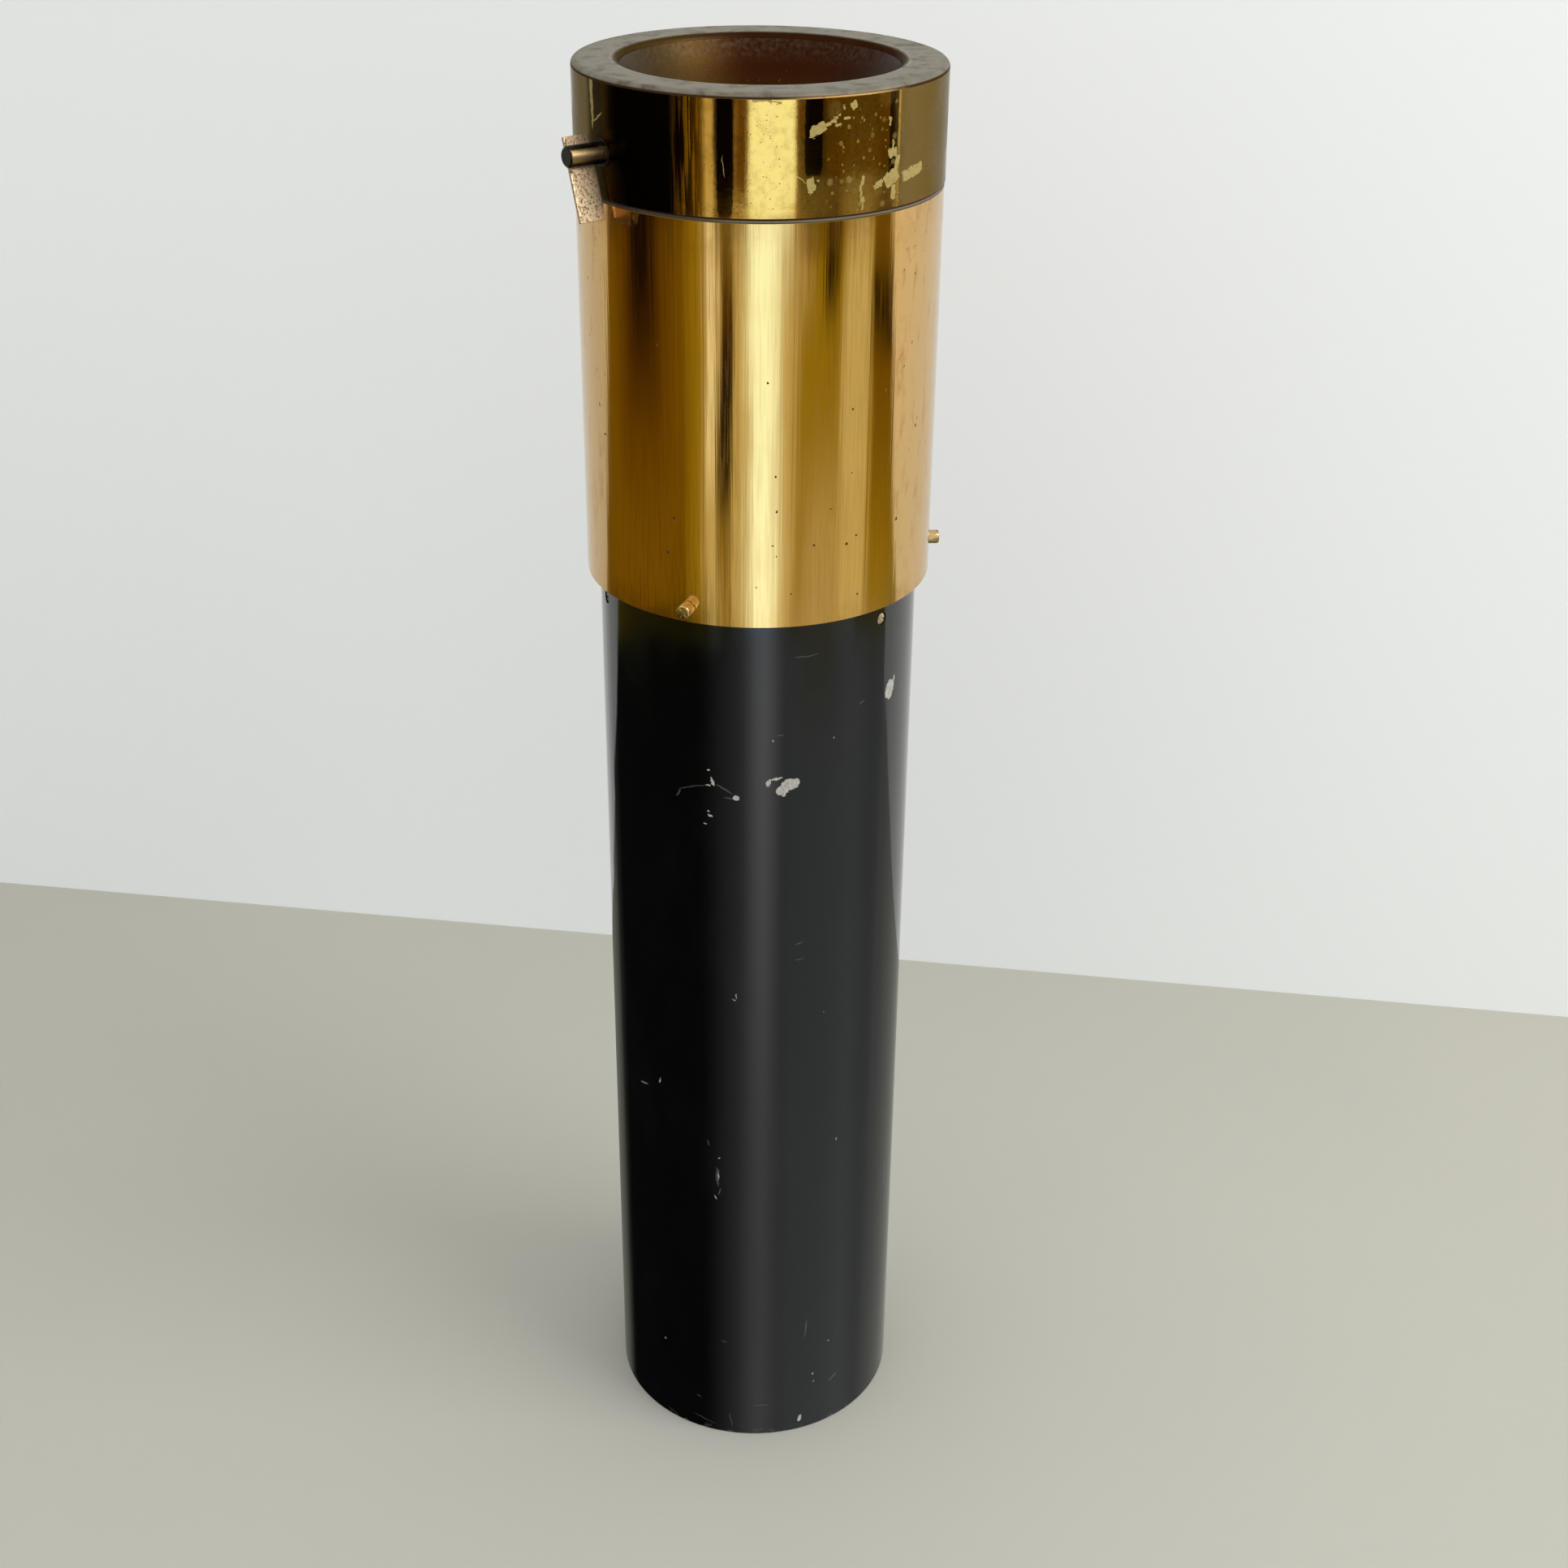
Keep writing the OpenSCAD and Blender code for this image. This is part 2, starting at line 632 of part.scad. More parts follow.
// The spun dish: a bowl soldered to the lip's edge, and a throat that the axle crosses
module dish_funnel() {
    edge_turn = lip_turn - asin(solder_gap / bowl_r);
    reach = bowl_r + dish_t + cut;
    color("#6d5330") difference() {
        rotate_extrude() union() {
            intersection() {
                translate([0, bowl_z]) difference() {
                    circle(bowl_r + dish_t);
                    circle(bowl_r);
                }
                polygon([
                    [throat_r, bowl_z - throat_r / tan(edge_turn)],
                    [reach * sin(edge_turn), bowl_z - reach * cos(edge_turn)],
                    [reach * sin(edge_turn), throat_z], [throat_r, throat_z]
                ]);
            }
            translate([throat_r, throat_z]) square([dish_t, throat_top_z - dish_t / 2 - throat_z]);
        }
        outwards(axle_azimuth, axle_z)
            along(axle_r + throat_hole_clear, -lip_centre_r, lip_centre_r);
        outwards(axle_azimuth + 90, stop_rivet_z())
            along(rivet_bore_r, throat_r - cut, throat_out_r + cut);
    }
}

// The flanged bush that the axle turns in, where it leaves the cap
module axle_bush() {
    flange_out = seat_in_curve(cap_in_r, bush_flange_r);
    color("#94733a") outwards(axle_azimuth, axle_z) difference() {
        union() {
            along(bush_r, bush_in, cap_r + bush_proud);
            along(bush_flange_r, flange_out - bush_flange_t, flange_out);
        }
        along(bearing_r, bush_in - cut, cap_r + bush_proud + cut);
    }
}

// The blind bearing for the axle's far end, soldered inside the cap
module far_bearing() {
    color("#94733a") difference() {
        intersection() {
            outwards(axle_azimuth + 180, axle_z) along(bearing_r + cup_wall, cup_mouth, cap_r);
            translate([0, 0, seam_z]) cylinder(r = cap_in_r - solder_gap, h = cap_h);
        }
        outwards(axle_azimuth + 180, axle_z) along(bearing_r, cup_mouth - cut, cup_bottom);
    }
}

// Level of the rivet that holds the flap's tab
function stop_rivet_z() = tab_top_z - tab_t - (tab_leg - tab_t) / 2;

// The angle tab in the throat that the flap's front half rests on
module flap_stop() {
    out_r = throat_r - solder_gap;
    color("#94733a") difference() {
        intersection() {
            union() {
                ring(out_r, out_r - tab_t, tab_top_z - tab_leg, tab_top_z);
                ring(out_r, out_r - tab_reach, tab_top_z - tab_t, tab_top_z);
            }
            outwards(axle_azimuth + 90, tab_top_z) translate([-cut, -tab_w / 2, 0])
                cube([tab_leg + 2 * cut, tab_w, throat_r]);
        }
        outwards(axle_azimuth + 90, stop_rivet_z()) along(rivet_bore_r, out_r - tab_reach, throat_r);
    }
}

// The rivet through the tab and the throat's wall
module stop_rivet() {
    head_r = rivet_d / 2 + rivet_head_step;
    in_r = seat_in_curve(throat_r - solder_gap - tab_t, head_r);
    color("#a9843f") outwards(axle_azimuth + 90, stop_rivet_z()) union() {
        along(head_r, in_r - rivet_head_h, in_r);
        along(rivet_d / 2, in_r - rivet_head_h / 2, throat_out_r + rivet_head_h / 2);
        along(head_r, throat_out_r, throat_out_r + rivet_head_h);
    }
}

// Places children at the flap's screws: two in the axle, two in the weight
module at_flap_screws() {
    for (p = [
        [flap_screw_at, 0], [-flap_screw_at, 0],
        [weight_screw_at, weight_at], [-weight_screw_at, weight_at]
    ])
        translate([0, 0, flap_z]) rotate([0, 0, axle_azimuth - 90]) translate([p[0], p[1], 0]) children();
}

// The axle: milled flat under the flap, and flat where the lever is soldered
module flap_axle() {
    flat_l = flap_r + flap_clear / 2;
    color("#8a6d3a") difference() {
        outwards(axle_azimuth, axle_z) difference() {
            rotate_extrude() polygon([
                [0, -axle_back], [axle_r, -axle_back], [axle_r, axle_out - axle_chamfer],
                [axle_r - axle_chamfer, axle_out], [0, axle_out]
            ]);
            translate([-axle_d, -axle_d, -flat_l]) cube([axle_d - axle_flat, 2 * axle_d, 2 * flat_l]);
            rotate([0, 0, lever_lean]) translate([-axle_d, -axle_d, lever_in])
                cube([2 * axle_d, axle_d - axle_r + lever_seat, lever_w]);
        }
        at_flap_screws() along(screw_bore_r, -axle_d, cut);
    }
}

// The round flap that closes the throat
module flap_disc() {
    color("#7a5c30") difference() {
        translate([0, 0, flap_z]) cylinder(r = flap_r, h = flap_t);
        at_flap_screws() along(screw_bore_r, -cut, flap_t + cut);
    }
}

// The bar under the flap's front half, which lets the flap fall shut on its tab
module flap_weight() {
    color("#94733a") difference() {
        translate([0, 0, flap_z - weight_size[2]]) rotate([0, 0, axle_azimuth - 90])
            translate([-weight_size[0] / 2, weight_at - weight_size[1] / 2, 0]) cube(weight_size);
        at_flap_screws() along(screw_bore_r, -weight_size[2] - cut, cut);
    }
}

// The slotted screws that hold flap, axle and weight together
module flap_screws() {
    color("#b39a66") at_flap_screws() translate([0, 0, flap_t])
        slotted_screw(flap_t + axle_flat + axle_r - screw_short, 25);
}

// The strip soldered to the axle outside the cap, which a finger pushes
module lever_plate() {
    color("#b3a077") outwards(axle_azimuth, axle_z) rotate([0, 0, lever_lean])
        translate([-lever_up, lever_seat - axle_r - lever_t, lever_in])
            cube([lever_up + lever_down, lever_t, lever_w]);
}

// The stop collar that keeps the axle in its bush
module axle_collar() {
    collar_out_r = bearing_r + stop_collar_wall;
    color("#94733a") outwards(axle_azimuth, axle_z) difference() {
        along(collar_out_r, stop_collar_in, stop_collar_out);
        along(bearing_r, stop_collar_in - cut, stop_collar_out + cut);
        translate([0, 0, (stop_collar_in + stop_collar_out) / 2]) rotate([0, 90, 0])
            along(screw_bore_r, 0, collar_out_r + cut);
    }
}

// The headless slotted screw that clamps the stop collar to the axle
module collar_grub_screw() {
    end = bearing_r + stop_collar_wall - screw_short;
    color("#77797c") outwards(axle_azimuth, axle_z)
        translate([0, 0, (stop_collar_in + stop_collar_out) / 2]) rotate([0, 90, 0]) difference() {
            along(screw_d / 2, bearing_r, end);
            translate([-screw_d, -slot_w / 2, end - slot_depth])
                cube([2 * screw_d, slot_w, slot_depth + cut]);
        }
}

outer_tube();
base_pan();
ballast_disc();
ballast_bolt();
ballast_washer();
ballast_nut();
pail_collar();
collar_screws();
ash_pail();
bail_ears();
ear_rivets();
pail_bail();
brass_sleeve();
seat_ring();
thumbscrew_bosses();
thumbscrew_1();
thumbscrew_2();
thumbscrew_3();
cap_shell();
joint_ring();
dish_funnel();
axle_bush();
far_bearing();
flap_stop();
stop_rivet();
flap_axle();
flap_disc();
flap_weight();
flap_screws();
lever_plate();
axle_collar();
collar_grub_screw();
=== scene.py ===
# %% [markdown]
# # A standing ashtray in brass and black enamel
# The object stands on the floor: a black enamelled tube carries a brass head, made of a polished sleeve,
# a dark lacquered cap and a dish that a tipping flap closes. The solids, their places and their joints
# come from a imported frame, so this script never moves or resizes them. It adds the camera, a plain studio
# and the finishes, and it remakes the small turned and bent pieces whose surface needs more than the
# solids hold.

# %% Load the frame
import json
import math

import bmesh
import bpy
from mathutils import Matrix, Vector, noise


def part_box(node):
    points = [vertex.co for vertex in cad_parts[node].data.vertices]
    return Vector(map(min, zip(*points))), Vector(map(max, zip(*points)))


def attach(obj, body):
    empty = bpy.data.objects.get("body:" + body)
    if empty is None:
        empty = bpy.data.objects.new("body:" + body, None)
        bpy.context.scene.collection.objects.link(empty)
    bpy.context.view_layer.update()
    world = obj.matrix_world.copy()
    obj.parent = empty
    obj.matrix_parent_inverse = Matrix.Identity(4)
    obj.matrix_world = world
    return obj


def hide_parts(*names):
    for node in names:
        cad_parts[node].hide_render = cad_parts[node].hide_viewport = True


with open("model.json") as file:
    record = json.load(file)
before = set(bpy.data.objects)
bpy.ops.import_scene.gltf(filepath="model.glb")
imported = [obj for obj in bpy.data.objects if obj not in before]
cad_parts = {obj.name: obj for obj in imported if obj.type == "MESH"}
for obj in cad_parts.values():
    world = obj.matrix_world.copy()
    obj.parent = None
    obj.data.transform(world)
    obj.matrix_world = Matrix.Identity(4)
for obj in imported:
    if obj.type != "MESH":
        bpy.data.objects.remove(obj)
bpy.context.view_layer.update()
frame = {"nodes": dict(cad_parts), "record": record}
scene = bpy.context.scene
MM = 0.001

# %% [markdown]
# ## Sizes from the frame
# Most pieces are round about the upright centre line, so three numbers describe each of them: its outside
# radius, its lowest level and its highest. Azimuths are degrees round the centre line, 0 at the front,
# which is -Y, and positive towards +X. Lengths are millimetres from here on, and metres only where
# Blender wants them.

# %% Measure the round pieces
def round_size(node):
    low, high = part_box(node)
    return (high.x - low.x) / 2 / MM, low.z / MM, high.z / MM


tube_r = round_size("outer_tube")[0]
sleeve_r, sleeve_foot, seam_z = round_size("brass_sleeve")
cap_r, cap_foot, cap_top = round_size("cap_shell")
axle_low, axle_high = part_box("flap_axle")
axle_z = (axle_low.z + axle_high.z) / 2 / MM
axle_r = (axle_high.z - axle_low.z) / 2 / MM
AXLE_AZIMUTH = -54


def outwards(azimuth, level):
    """A frame at the centre line whose +Z points out at an azimuth, and whose +X points down."""
    lie_down = Matrix.Rotation(math.radians(90), 4, "Y")
    face_out = Matrix.Rotation(math.radians(azimuth - 90), 4, "Z")
    return Matrix.Translation((0, 0, level)) @ face_out @ lie_down


print("tube radius", round(tube_r, 2), "axle at", round(axle_z, 1))
print("sleeve from", round(sleeve_foot, 1), "to", round(seam_z, 1))

# %% [markdown]
# ## Camera
# The photograph was taken by someone standing close by and looking down. A pinhole camera that was fitted
# to the object's outlines gives its place, tilt and focal length, and these few values repeat it. The
# lens has no shift and no depth of field, so that every other view stays as sharp.

# %% Camera
PHOTO_SIDE = 1932
SENSOR_WIDTH = 36
FOCAL_LENGTH = 50.16
CAMERA_PLACE = Vector((0, -0.9683, 0.8882))
LOOK_DOWN = math.radians(28.27)
LOOK_RIGHT = math.radians(0.80)
LEAN = math.radians(0.64)
CLIP_START = 0.01

forward = Vector((
    math.sin(LOOK_RIGHT) * math.cos(LOOK_DOWN),
    math.cos(LOOK_RIGHT) * math.cos(LOOK_DOWN),
    -math.sin(LOOK_DOWN),
))
level_right = Vector((math.cos(LOOK_RIGHT), -math.sin(LOOK_RIGHT), 0))
level_up = level_right.cross(forward)
right = level_right * math.cos(LEAN) + level_up * math.sin(LEAN)
up = level_up * math.cos(LEAN) - level_right * math.sin(LEAN)

camera = bpy.data.objects.new("camera", bpy.data.cameras.new("camera"))
camera.data.lens = FOCAL_LENGTH
camera.data.sensor_width = SENSOR_WIDTH
camera.data.clip_start = CLIP_START
turned = Matrix((right, up, -forward)).transposed().to_4x4()
camera.matrix_world = Matrix.Translation(CAMERA_PLACE) @ turned
scene.collection.objects.link(camera)
scene.camera = camera


def sight(px, py):
    """Direction from the camera through a pixel of the photograph."""
    reach = FOCAL_LENGTH / SENSOR_WIDTH * PHOTO_SIDE
    across = (px - PHOTO_SIDE / 2) / reach
    down = (py - PHOTO_SIDE / 2) / reach
    return (forward + right * across - up * down).normalized()


def floor_spot(px, py):
    """Where a pixel's line of sight meets the floor, in metres."""
    ray = sight(px, py)
    return CAMERA_PLACE - ray * (CAMERA_PLACE.z / ray.z)


def wall_spot(px, py, radius):
    """Azimuth and level at which a pixel's line of sight meets an upright cylinder."""
    ray = sight(px, py)
    start = CAMERA_PLACE / MM
    along = ray.xy.dot(ray.xy)
    half = start.xy.dot(ray.xy)
    rest = start.xy.dot(start.xy) - radius ** 2
    reach = (-half - math.sqrt(max(half ** 2 - along * rest, 0))) / along
    hit = start + ray * reach
    return math.degrees(math.atan2(hit.x, -hit.y)), hit.z


print("camera looks down", round(math.degrees(LOOK_DOWN), 1), "degrees")

# %% [markdown]
# ## Short calls for node trees
# A finish is a tree of nodes, and building one node by node takes many lines. This small class adds a
# node, feeds its inputs in order and hands back the socket that the next node needs, so a finish below
# reads like a formula. A plain number or colour sets an input, a socket is linked to it, and None leaves
# it alone.

# %% Node helpers
class Net:
    """A node tree and short calls that add to it."""

    def __init__(self, tree):
        self.tree = tree

    def feed(self, socket, value):
        if isinstance(value, bpy.types.NodeSocket):
            self.tree.links.new(value, socket)
        elif value is not None:
            socket.default_value = value

    def node(self, kind, *values, **settings):
        made = self.tree.nodes.new(kind)
        for name, setting in settings.items():
            setattr(made, name, setting)
        for socket, value in zip(made.inputs, values):
            self.feed(socket, value)
        return made

    def use(self, group, *values):
        return self.node("ShaderNodeGroup", node_tree=group, *values).outputs

    def effect(self, group, *values):
        """The one output of a group that has no other."""
        return self.use(group, *values)[0]

    def math(self, operation, *values):
        return self.node("ShaderNodeMath", *values, operation=operation).outputs[0]

    def times(self, first, *others):
        for other in others:
            first = self.math("MULTIPLY", first, other)
        return first

    def most(self, first, *others):
        for other in others:
            first = self.math("MAXIMUM", first, other)
        return first

    def plus(self, first, *others):
        for other in others:
            first = self.math("ADD", first, other)
        return first

    def total(self, start, *shares):
        """A start plus shares, each a value and its weight."""
        for value, weight in shares:
            start = self.plus(start, self.times(value, weight))
        return start

    def inverse(self, value):
        return self.math("SUBTRACT", 1.0, value)

    def ramp(self, value, low, high):
        """0 at low, 1 at high, with a soft start and end."""
        return self.node("ShaderNodeMapRange", value, low, high, interpolation_type="SMOOTHSTEP").outputs[0]

    def between(self, value, low, high, soft):
        """1 between low and high, falling to 0 over a soft edge on both sides."""
        rise = self.ramp(value, low - soft, low + soft)
        return self.times(rise, self.ramp(value, high + soft, high - soft))

    def mix(self, factor, first, second):
        unused = (None,) * 5
        return self.node("ShaderNodeMix", factor, *unused, first, second, data_type="RGBA").outputs[2]

    def layers(self, colour, *coats):
        """A colour under coats, each a mask, its strength and a tone, from the lowest to the topmost."""
        for mask, strength, tone in coats:
            colour = self.mix(self.times(mask, strength) if strength < 1 else mask, colour, tone)
        return colour

    def vector(self, operation, *values):
        return self.node("ShaderNodeVectorMath", *values, operation=operation).outputs

    def scaled(self, vector, factors):
        return self.vector("MULTIPLY", vector, factors)[0]

    def joined(self, *axes):
        return self.node("ShaderNodeCombineXYZ", *axes).outputs[0]

    def split(self, vector):
        return self.node("ShaderNodeSeparateXYZ", vector).outputs

    def noise(self, vector, size, detail=2.0):
        return self.node("ShaderNodeTexNoise", vector, None, 1 / size, detail).outputs[0]


def shader_group(name, inputs, outputs):
    tree = bpy.data.node_groups.new(name, "ShaderNodeTree")
    for label, kind in inputs.items():
        tree.interface.new_socket(label, in_out="INPUT", socket_type="NodeSocket" + kind)
    for label, kind in outputs.items():
        tree.interface.new_socket(label, in_out="OUTPUT", socket_type="NodeSocket" + kind)
    net = Net(tree)
    return tree, net, net.node("NodeGroupInput").outputs, net.node("NodeGroupOutput").inputs


# %% [markdown]
# ## Studio
# Polished brass has almost no colour of its own: it shows the room. A plain studio is therefore built
# around the object the way a product photographer builds one, with a pale floor, a white wall close
# behind, a soft dome of light above, and a ring of bright and dark panels lower down for the metal to
# mirror. The wall gives the two bright strips along the sleeve's edges. Its back is see-through, so that
# views from behind aren't blocked, and the floor stays out of mirror rays, so that the brass shows the
# panels.

# %% Floor and wall
WALL_FOOT_PIXELS = ((0, 1087), (1932, 1253))
FLOOR_REACH = 6
WALL_REACH = 5
WALL_HEIGHT = 3
FLOOR_COLOUR = (0.505, 0.49, 0.425)
WALL_COLOUR = (0.885, 0.895, 0.89)
PAINT_ROUGHNESS = 0.9
PAINT_GLOSS = 0.1


def flat_sheet(name, corners):
    mesh = bpy.data.meshes.new(name)
    mesh.from_pydata(corners, [], [range(len(corners))])
    sheet = bpy.data.objects.new(name, mesh)
    scene.collection.objects.link(sheet)
    return sheet


def matt_paint(name, colour, cloud_size, variation):
    material = bpy.data.materials.new(name)
    material.use_nodes = True
    net = Net(material.node_tree)
    shader = material.node_tree.nodes["Principled BSDF"]
    place = net.node("ShaderNodeTexCoord").outputs["Object"]
    cloud = net.noise(place, cloud_size, 4.0)
    darker = [channel * (1 - variation) for channel in colour] + [1]
    net.feed(shader.inputs["Base Color"], net.mix(cloud, (*colour, 1), darker))
    shader.inputs["Roughness"].default_value = PAINT_ROUGHNESS
    shader.inputs["Specular IOR Level"].default_value = PAINT_GLOSS
    return material, net, shader


floor = flat_sheet("floor", [
    (-FLOOR_REACH, -FLOOR_REACH, 0), (FLOOR_REACH, -FLOOR_REACH, 0),
    (FLOOR_REACH, FLOOR_REACH, 0), (-FLOOR_REACH, FLOOR_REACH, 0),
])
floor.visible_glossy = False
floor_paint = matt_paint("floor_paint", FLOOR_COLOUR, cloud_size=0.35, variation=0.08)[0]
floor.data.materials.append(floor_paint)

wall_left, wall_right = (floor_spot(*pixel) for pixel in WALL_FOOT_PIXELS)
wall_along = (wall_right - wall_left).normalized() * WALL_REACH
wall_mid = (wall_left + wall_right) / 2
wall_top = Vector((0, 0, WALL_HEIGHT))
wall = flat_sheet("wall", [
    wall_mid - wall_along, wall_mid + wall_along,
    wall_mid + wall_along + wall_top, wall_mid - wall_along + wall_top,
])
wall_paint, net, shader = matt_paint("wall_paint", WALL_COLOUR, cloud_size=1.2, variation=0.02)
behind = net.node("ShaderNodeNewGeometry").outputs["Backfacing"]
clear = net.node("ShaderNodeBsdfTransparent").outputs[0]
one_sided = net.node("ShaderNodeMixShader", behind, shader.outputs[0], clear).outputs[0]
net.feed(wall_paint.node_tree.nodes["Material Output"].inputs["Surface"], one_sided)
wall.data.materials.append(wall_paint)
print("wall stands", round(wall_mid.y, 2), "m behind the centre line")

# %% [markdown]
# The panels are patches of the sky dome, each with a range of azimuth and of height above the horizon, a
# soft edge and a tone. Because the camera looks down, the brass mirrors what lies 10 to 24 degrees below
# the horizon, and the black tube what lies lower still. A cool window straight ahead gives the bright
# middle of the sleeve, warm dark panels beside it give the amber bands, and a narrow dark one draws the
# line beside the highlight. A panel covers those before it, so the tube's come first and the brass's end
# them in a clean line. Lower than the tube looks lies a dim floor, for views from high above.

# %% Dome and panels
DOME = (0.98, 1.0, 1.02, 1)
WINDOW = (1.27, 1.90, 2.8, 1)
GLINT = (1.0, 1.2, 1.45, 1)
PALE = (0.64, 0.67, 0.50, 1)
SAND = (0.52, 0.50, 0.34, 1)
TAN = (0.335, 0.28, 0.018, 1)
AMBER = (0.19, 0.13, 0.002, 1)
BRONZE = (0.14, 0.085, 0.002, 1)
UMBER = (0.10, 0.050, 0.001, 1)
DARK = (0.009, 0.004, 0.002, 1)
GREY = (0.57, 0.59, 0.59, 1)
DIM_GREY = (0.34, 0.35, 0.35, 1)
LAMP = (1.60, 1.62, 1.60, 1)
LAMP_LOW = (0.80, 0.82, 0.80, 1)
SKIRT = (0.50, 0.52, 0.51, 1)
FLOOR_TONE = (0.25, 0.245, 0.21, 1)
FLOOR_NEAR = (0.38, 0.38, 0.34, 1)
FLOOR_SHADE = (0.20, 0.20, 0.17, 1)
SOOT = (0.008, 0.009, 0.008, 1)
ANYWHERE = (-200, 200)
BRASS_SIGHT = (-24.25, -6)
CAP_SIGHT = (-13.6, -6)
TUBE_SIGHT = (-120, -20)
# Each panel: azimuths, elevations, soft edge of each, tone
PANELS = {
    "tube_surround": (ANYWHERE, TUBE_SIGHT, 1, 3, SOOT),
    "tube_right": ((12, 120), TUBE_SIGHT, 16, 3, GREY),
    "tube_right_edge": ((86, 118), TUBE_SIGHT, 14, 3, DIM_GREY),
    "tube_skirt": ((-20, 14), TUBE_SIGHT, 26, 3, SKIRT),
    "tube_lamp": ((-5, 14), TUBE_SIGHT, 12, 3, LAMP_LOW),
    "tube_lamp_high": ((-3, 12), (-33, -15), 9, 9, LAMP),
    "tube_far_left": ((-200, -138), TUBE_SIGHT, 10, 3, FLOOR_SHADE),
    "tube_far_right": ((112, 200), TUBE_SIGHT, 10, 3, FLOOR_NEAR),
    "floor_below": (ANYWHERE, (-120, -57), 1, 6, FLOOR_TONE),
    "surround": (ANYWHERE, BRASS_SIGHT, 1, 0.12, TAN),
    "left_shade": ((-124, -46), BRASS_SIGHT, 6, 0.12, AMBER),
    "left_deep_shade": ((-98, -60), (-19.5, -6), 12, 3, UMBER),
    "left_spot": ((-89, -69), (-17.0, -12.0), 6, 1.5, DARK),
    "left_glow": ((-35, -26), BRASS_SIGHT, 4, 0.12, PALE),
    "left_glint": ((-33.6, -28.5), (-20.5, -6), 2, 1.6, GLINT),
    "beside_window": ((-18, 23), BRASS_SIGHT, 5, 0.12, PALE),
    "window": ((-6, 11), BRASS_SIGHT, 7, 0.12, WINDOW),
    "window_right": ((5, 12), (-19.8, -6), 5, 0.8, WINDOW),
    "window_bar": ((-13, -3), (-19.9, -18.9), 2, 0.4, PALE),
    "right_top_glow": ((20, 31), (-16.0, -6), 6, 0.8, SAND),
    "right_low_glow": ((30, 60), (-26, -20.5), 9, 1.8, SAND),
    "right_glow": ((54.5, 74), BRASS_SIGHT, 3, 0.12, PALE),
    "right_band": ((77, 99), (-20.8, -6), 2, 3, AMBER),
    "dark_line": ((-26, -17.8), (-21.5, -14.6), 1.2, 1.0, UMBER),
    "dark_core": ((-25, -18), (-21.4, -16.5), 1, 1.2, DARK),
    "right_blob": ((40, 50.5), (-16.0, -12.0), 1.5, 0.6, DARK),
    "right_dark": ((75.5, 98.5), (-16.9, -15.2), 1.2, 0.2, DARK),
    "right_line": ((94.5, 98.5), (-16.4, -13.4), 1, 0.3, UMBER),
    "cap_left_dark": ((-122, -46), CAP_SIGHT, 8, 0.5, DARK),
    "cap_left_glow": ((-43, -27), CAP_SIGHT, 3, 0.5, AMBER),
    "cap_left_glint": ((-34.5, -27.5), CAP_SIGHT, 2, 0.5, PALE),
    "cap_line": ((-27.6, -14.8), CAP_SIGHT, 1, 0.5, DARK),
    "cap_shade": ((-14.8, -7), CAP_SIGHT, 2, 0.5, BRONZE),
    "cap_window": ((-6, 21), CAP_SIGHT, 1.5, 0.5, WINDOW),
    "cap_right_shade": ((22, 97), CAP_SIGHT, 1, 0.5, BRONZE),
    "cap_right_dark": ((27, 39), CAP_SIGHT, 1.5, 0.5, DARK),
}

PANEL_INPUTS = ("Azimuth", "Elevation", "From", "To", "Low", "High", "Soft Sides", "Soft Ends")
panel_group, net, given, result = shader_group(
    "studio_panel", dict.fromkeys(PANEL_INPUTS, "Float"), {"Mask": "Float"},
)


def soft_range(net, value, low, high, soft):
    rise = net.ramp(value, net.math("SUBTRACT", low, soft), net.math("ADD", low, soft))
    fall = net.ramp(value, net.math("ADD", high, soft), net.math("SUBTRACT", high, soft))
    return net.times(rise, fall)


sides = soft_range(net, given["Azimuth"], given["From"], given["To"], given["Soft Sides"])
ends = soft_range(net, given["Elevation"], given["Low"], given["High"], given["Soft Ends"])
net.feed(result["Mask"], net.times(sides, ends))

scene.world = bpy.data.worlds.new("studio")
scene.world.use_nodes = True
net = Net(scene.world.node_tree)
axes = net.split(net.node("ShaderNodeTexCoord").outputs["Generated"])
azimuth = net.math("DEGREES", net.math("ARCTAN2", axes["X"], net.times(axes["Y"], -1.0)))
elevation = net.math("DEGREES", net.math("ARCSINE", axes["Z"]))
light = DOME
for azimuths, elevations, soft_sides, soft_ends, tone in PANELS.values():
    mask = net.effect(panel_group, azimuth, elevation, *azimuths, *elevations, soft_sides, soft_ends)
    light = net.mix(mask, light, tone)
net.feed(scene.world.node_tree.nodes["Background"].inputs["Color"], light)
scene.view_settings.view_transform = "Standard"
print("panels:", len(PANELS))

# %% [markdown]
# One large lamp high on the right gives the light a direction: a soft shade on the floor and a small
# bright spot on each rounded edge.

# %% Lamp
LIGHT_SIZE = 1.4
LIGHT_POWER = 24
LIGHT_PLACE = Vector((1.6, -0.8, 1.9))
LIGHT_AIM = Vector((0, 0, 0.4))

lamp = bpy.data.objects.new("soft_lamp", bpy.data.lights.new("soft_lamp", "AREA"))
lamp.data.size = LIGHT_SIZE
lamp.data.energy = LIGHT_POWER
lamp.location = LIGHT_PLACE
lamp.rotation_euler = (LIGHT_AIM - LIGHT_PLACE).to_track_quat("-Z", "Y").to_euler()
scene.collection.objects.link(lamp)
print("lamp of", LIGHT_POWER, "W at", tuple(LIGHT_PLACE))

# %% [markdown]
# ## Shared effects
# Age marks every surface in a few ways, so each way is a node group that the finishes place with their
# own values: a flat sheet of coordinates wrapped round the centre line, ragged or broken edges, single
# placed marks, pits, drawn streaks and clouds. A group only puts out masks, values and vectors. The
# shader itself stays in each material. Sizes are millimetres, and the numbers of a call follow the order
# of the group's inputs.

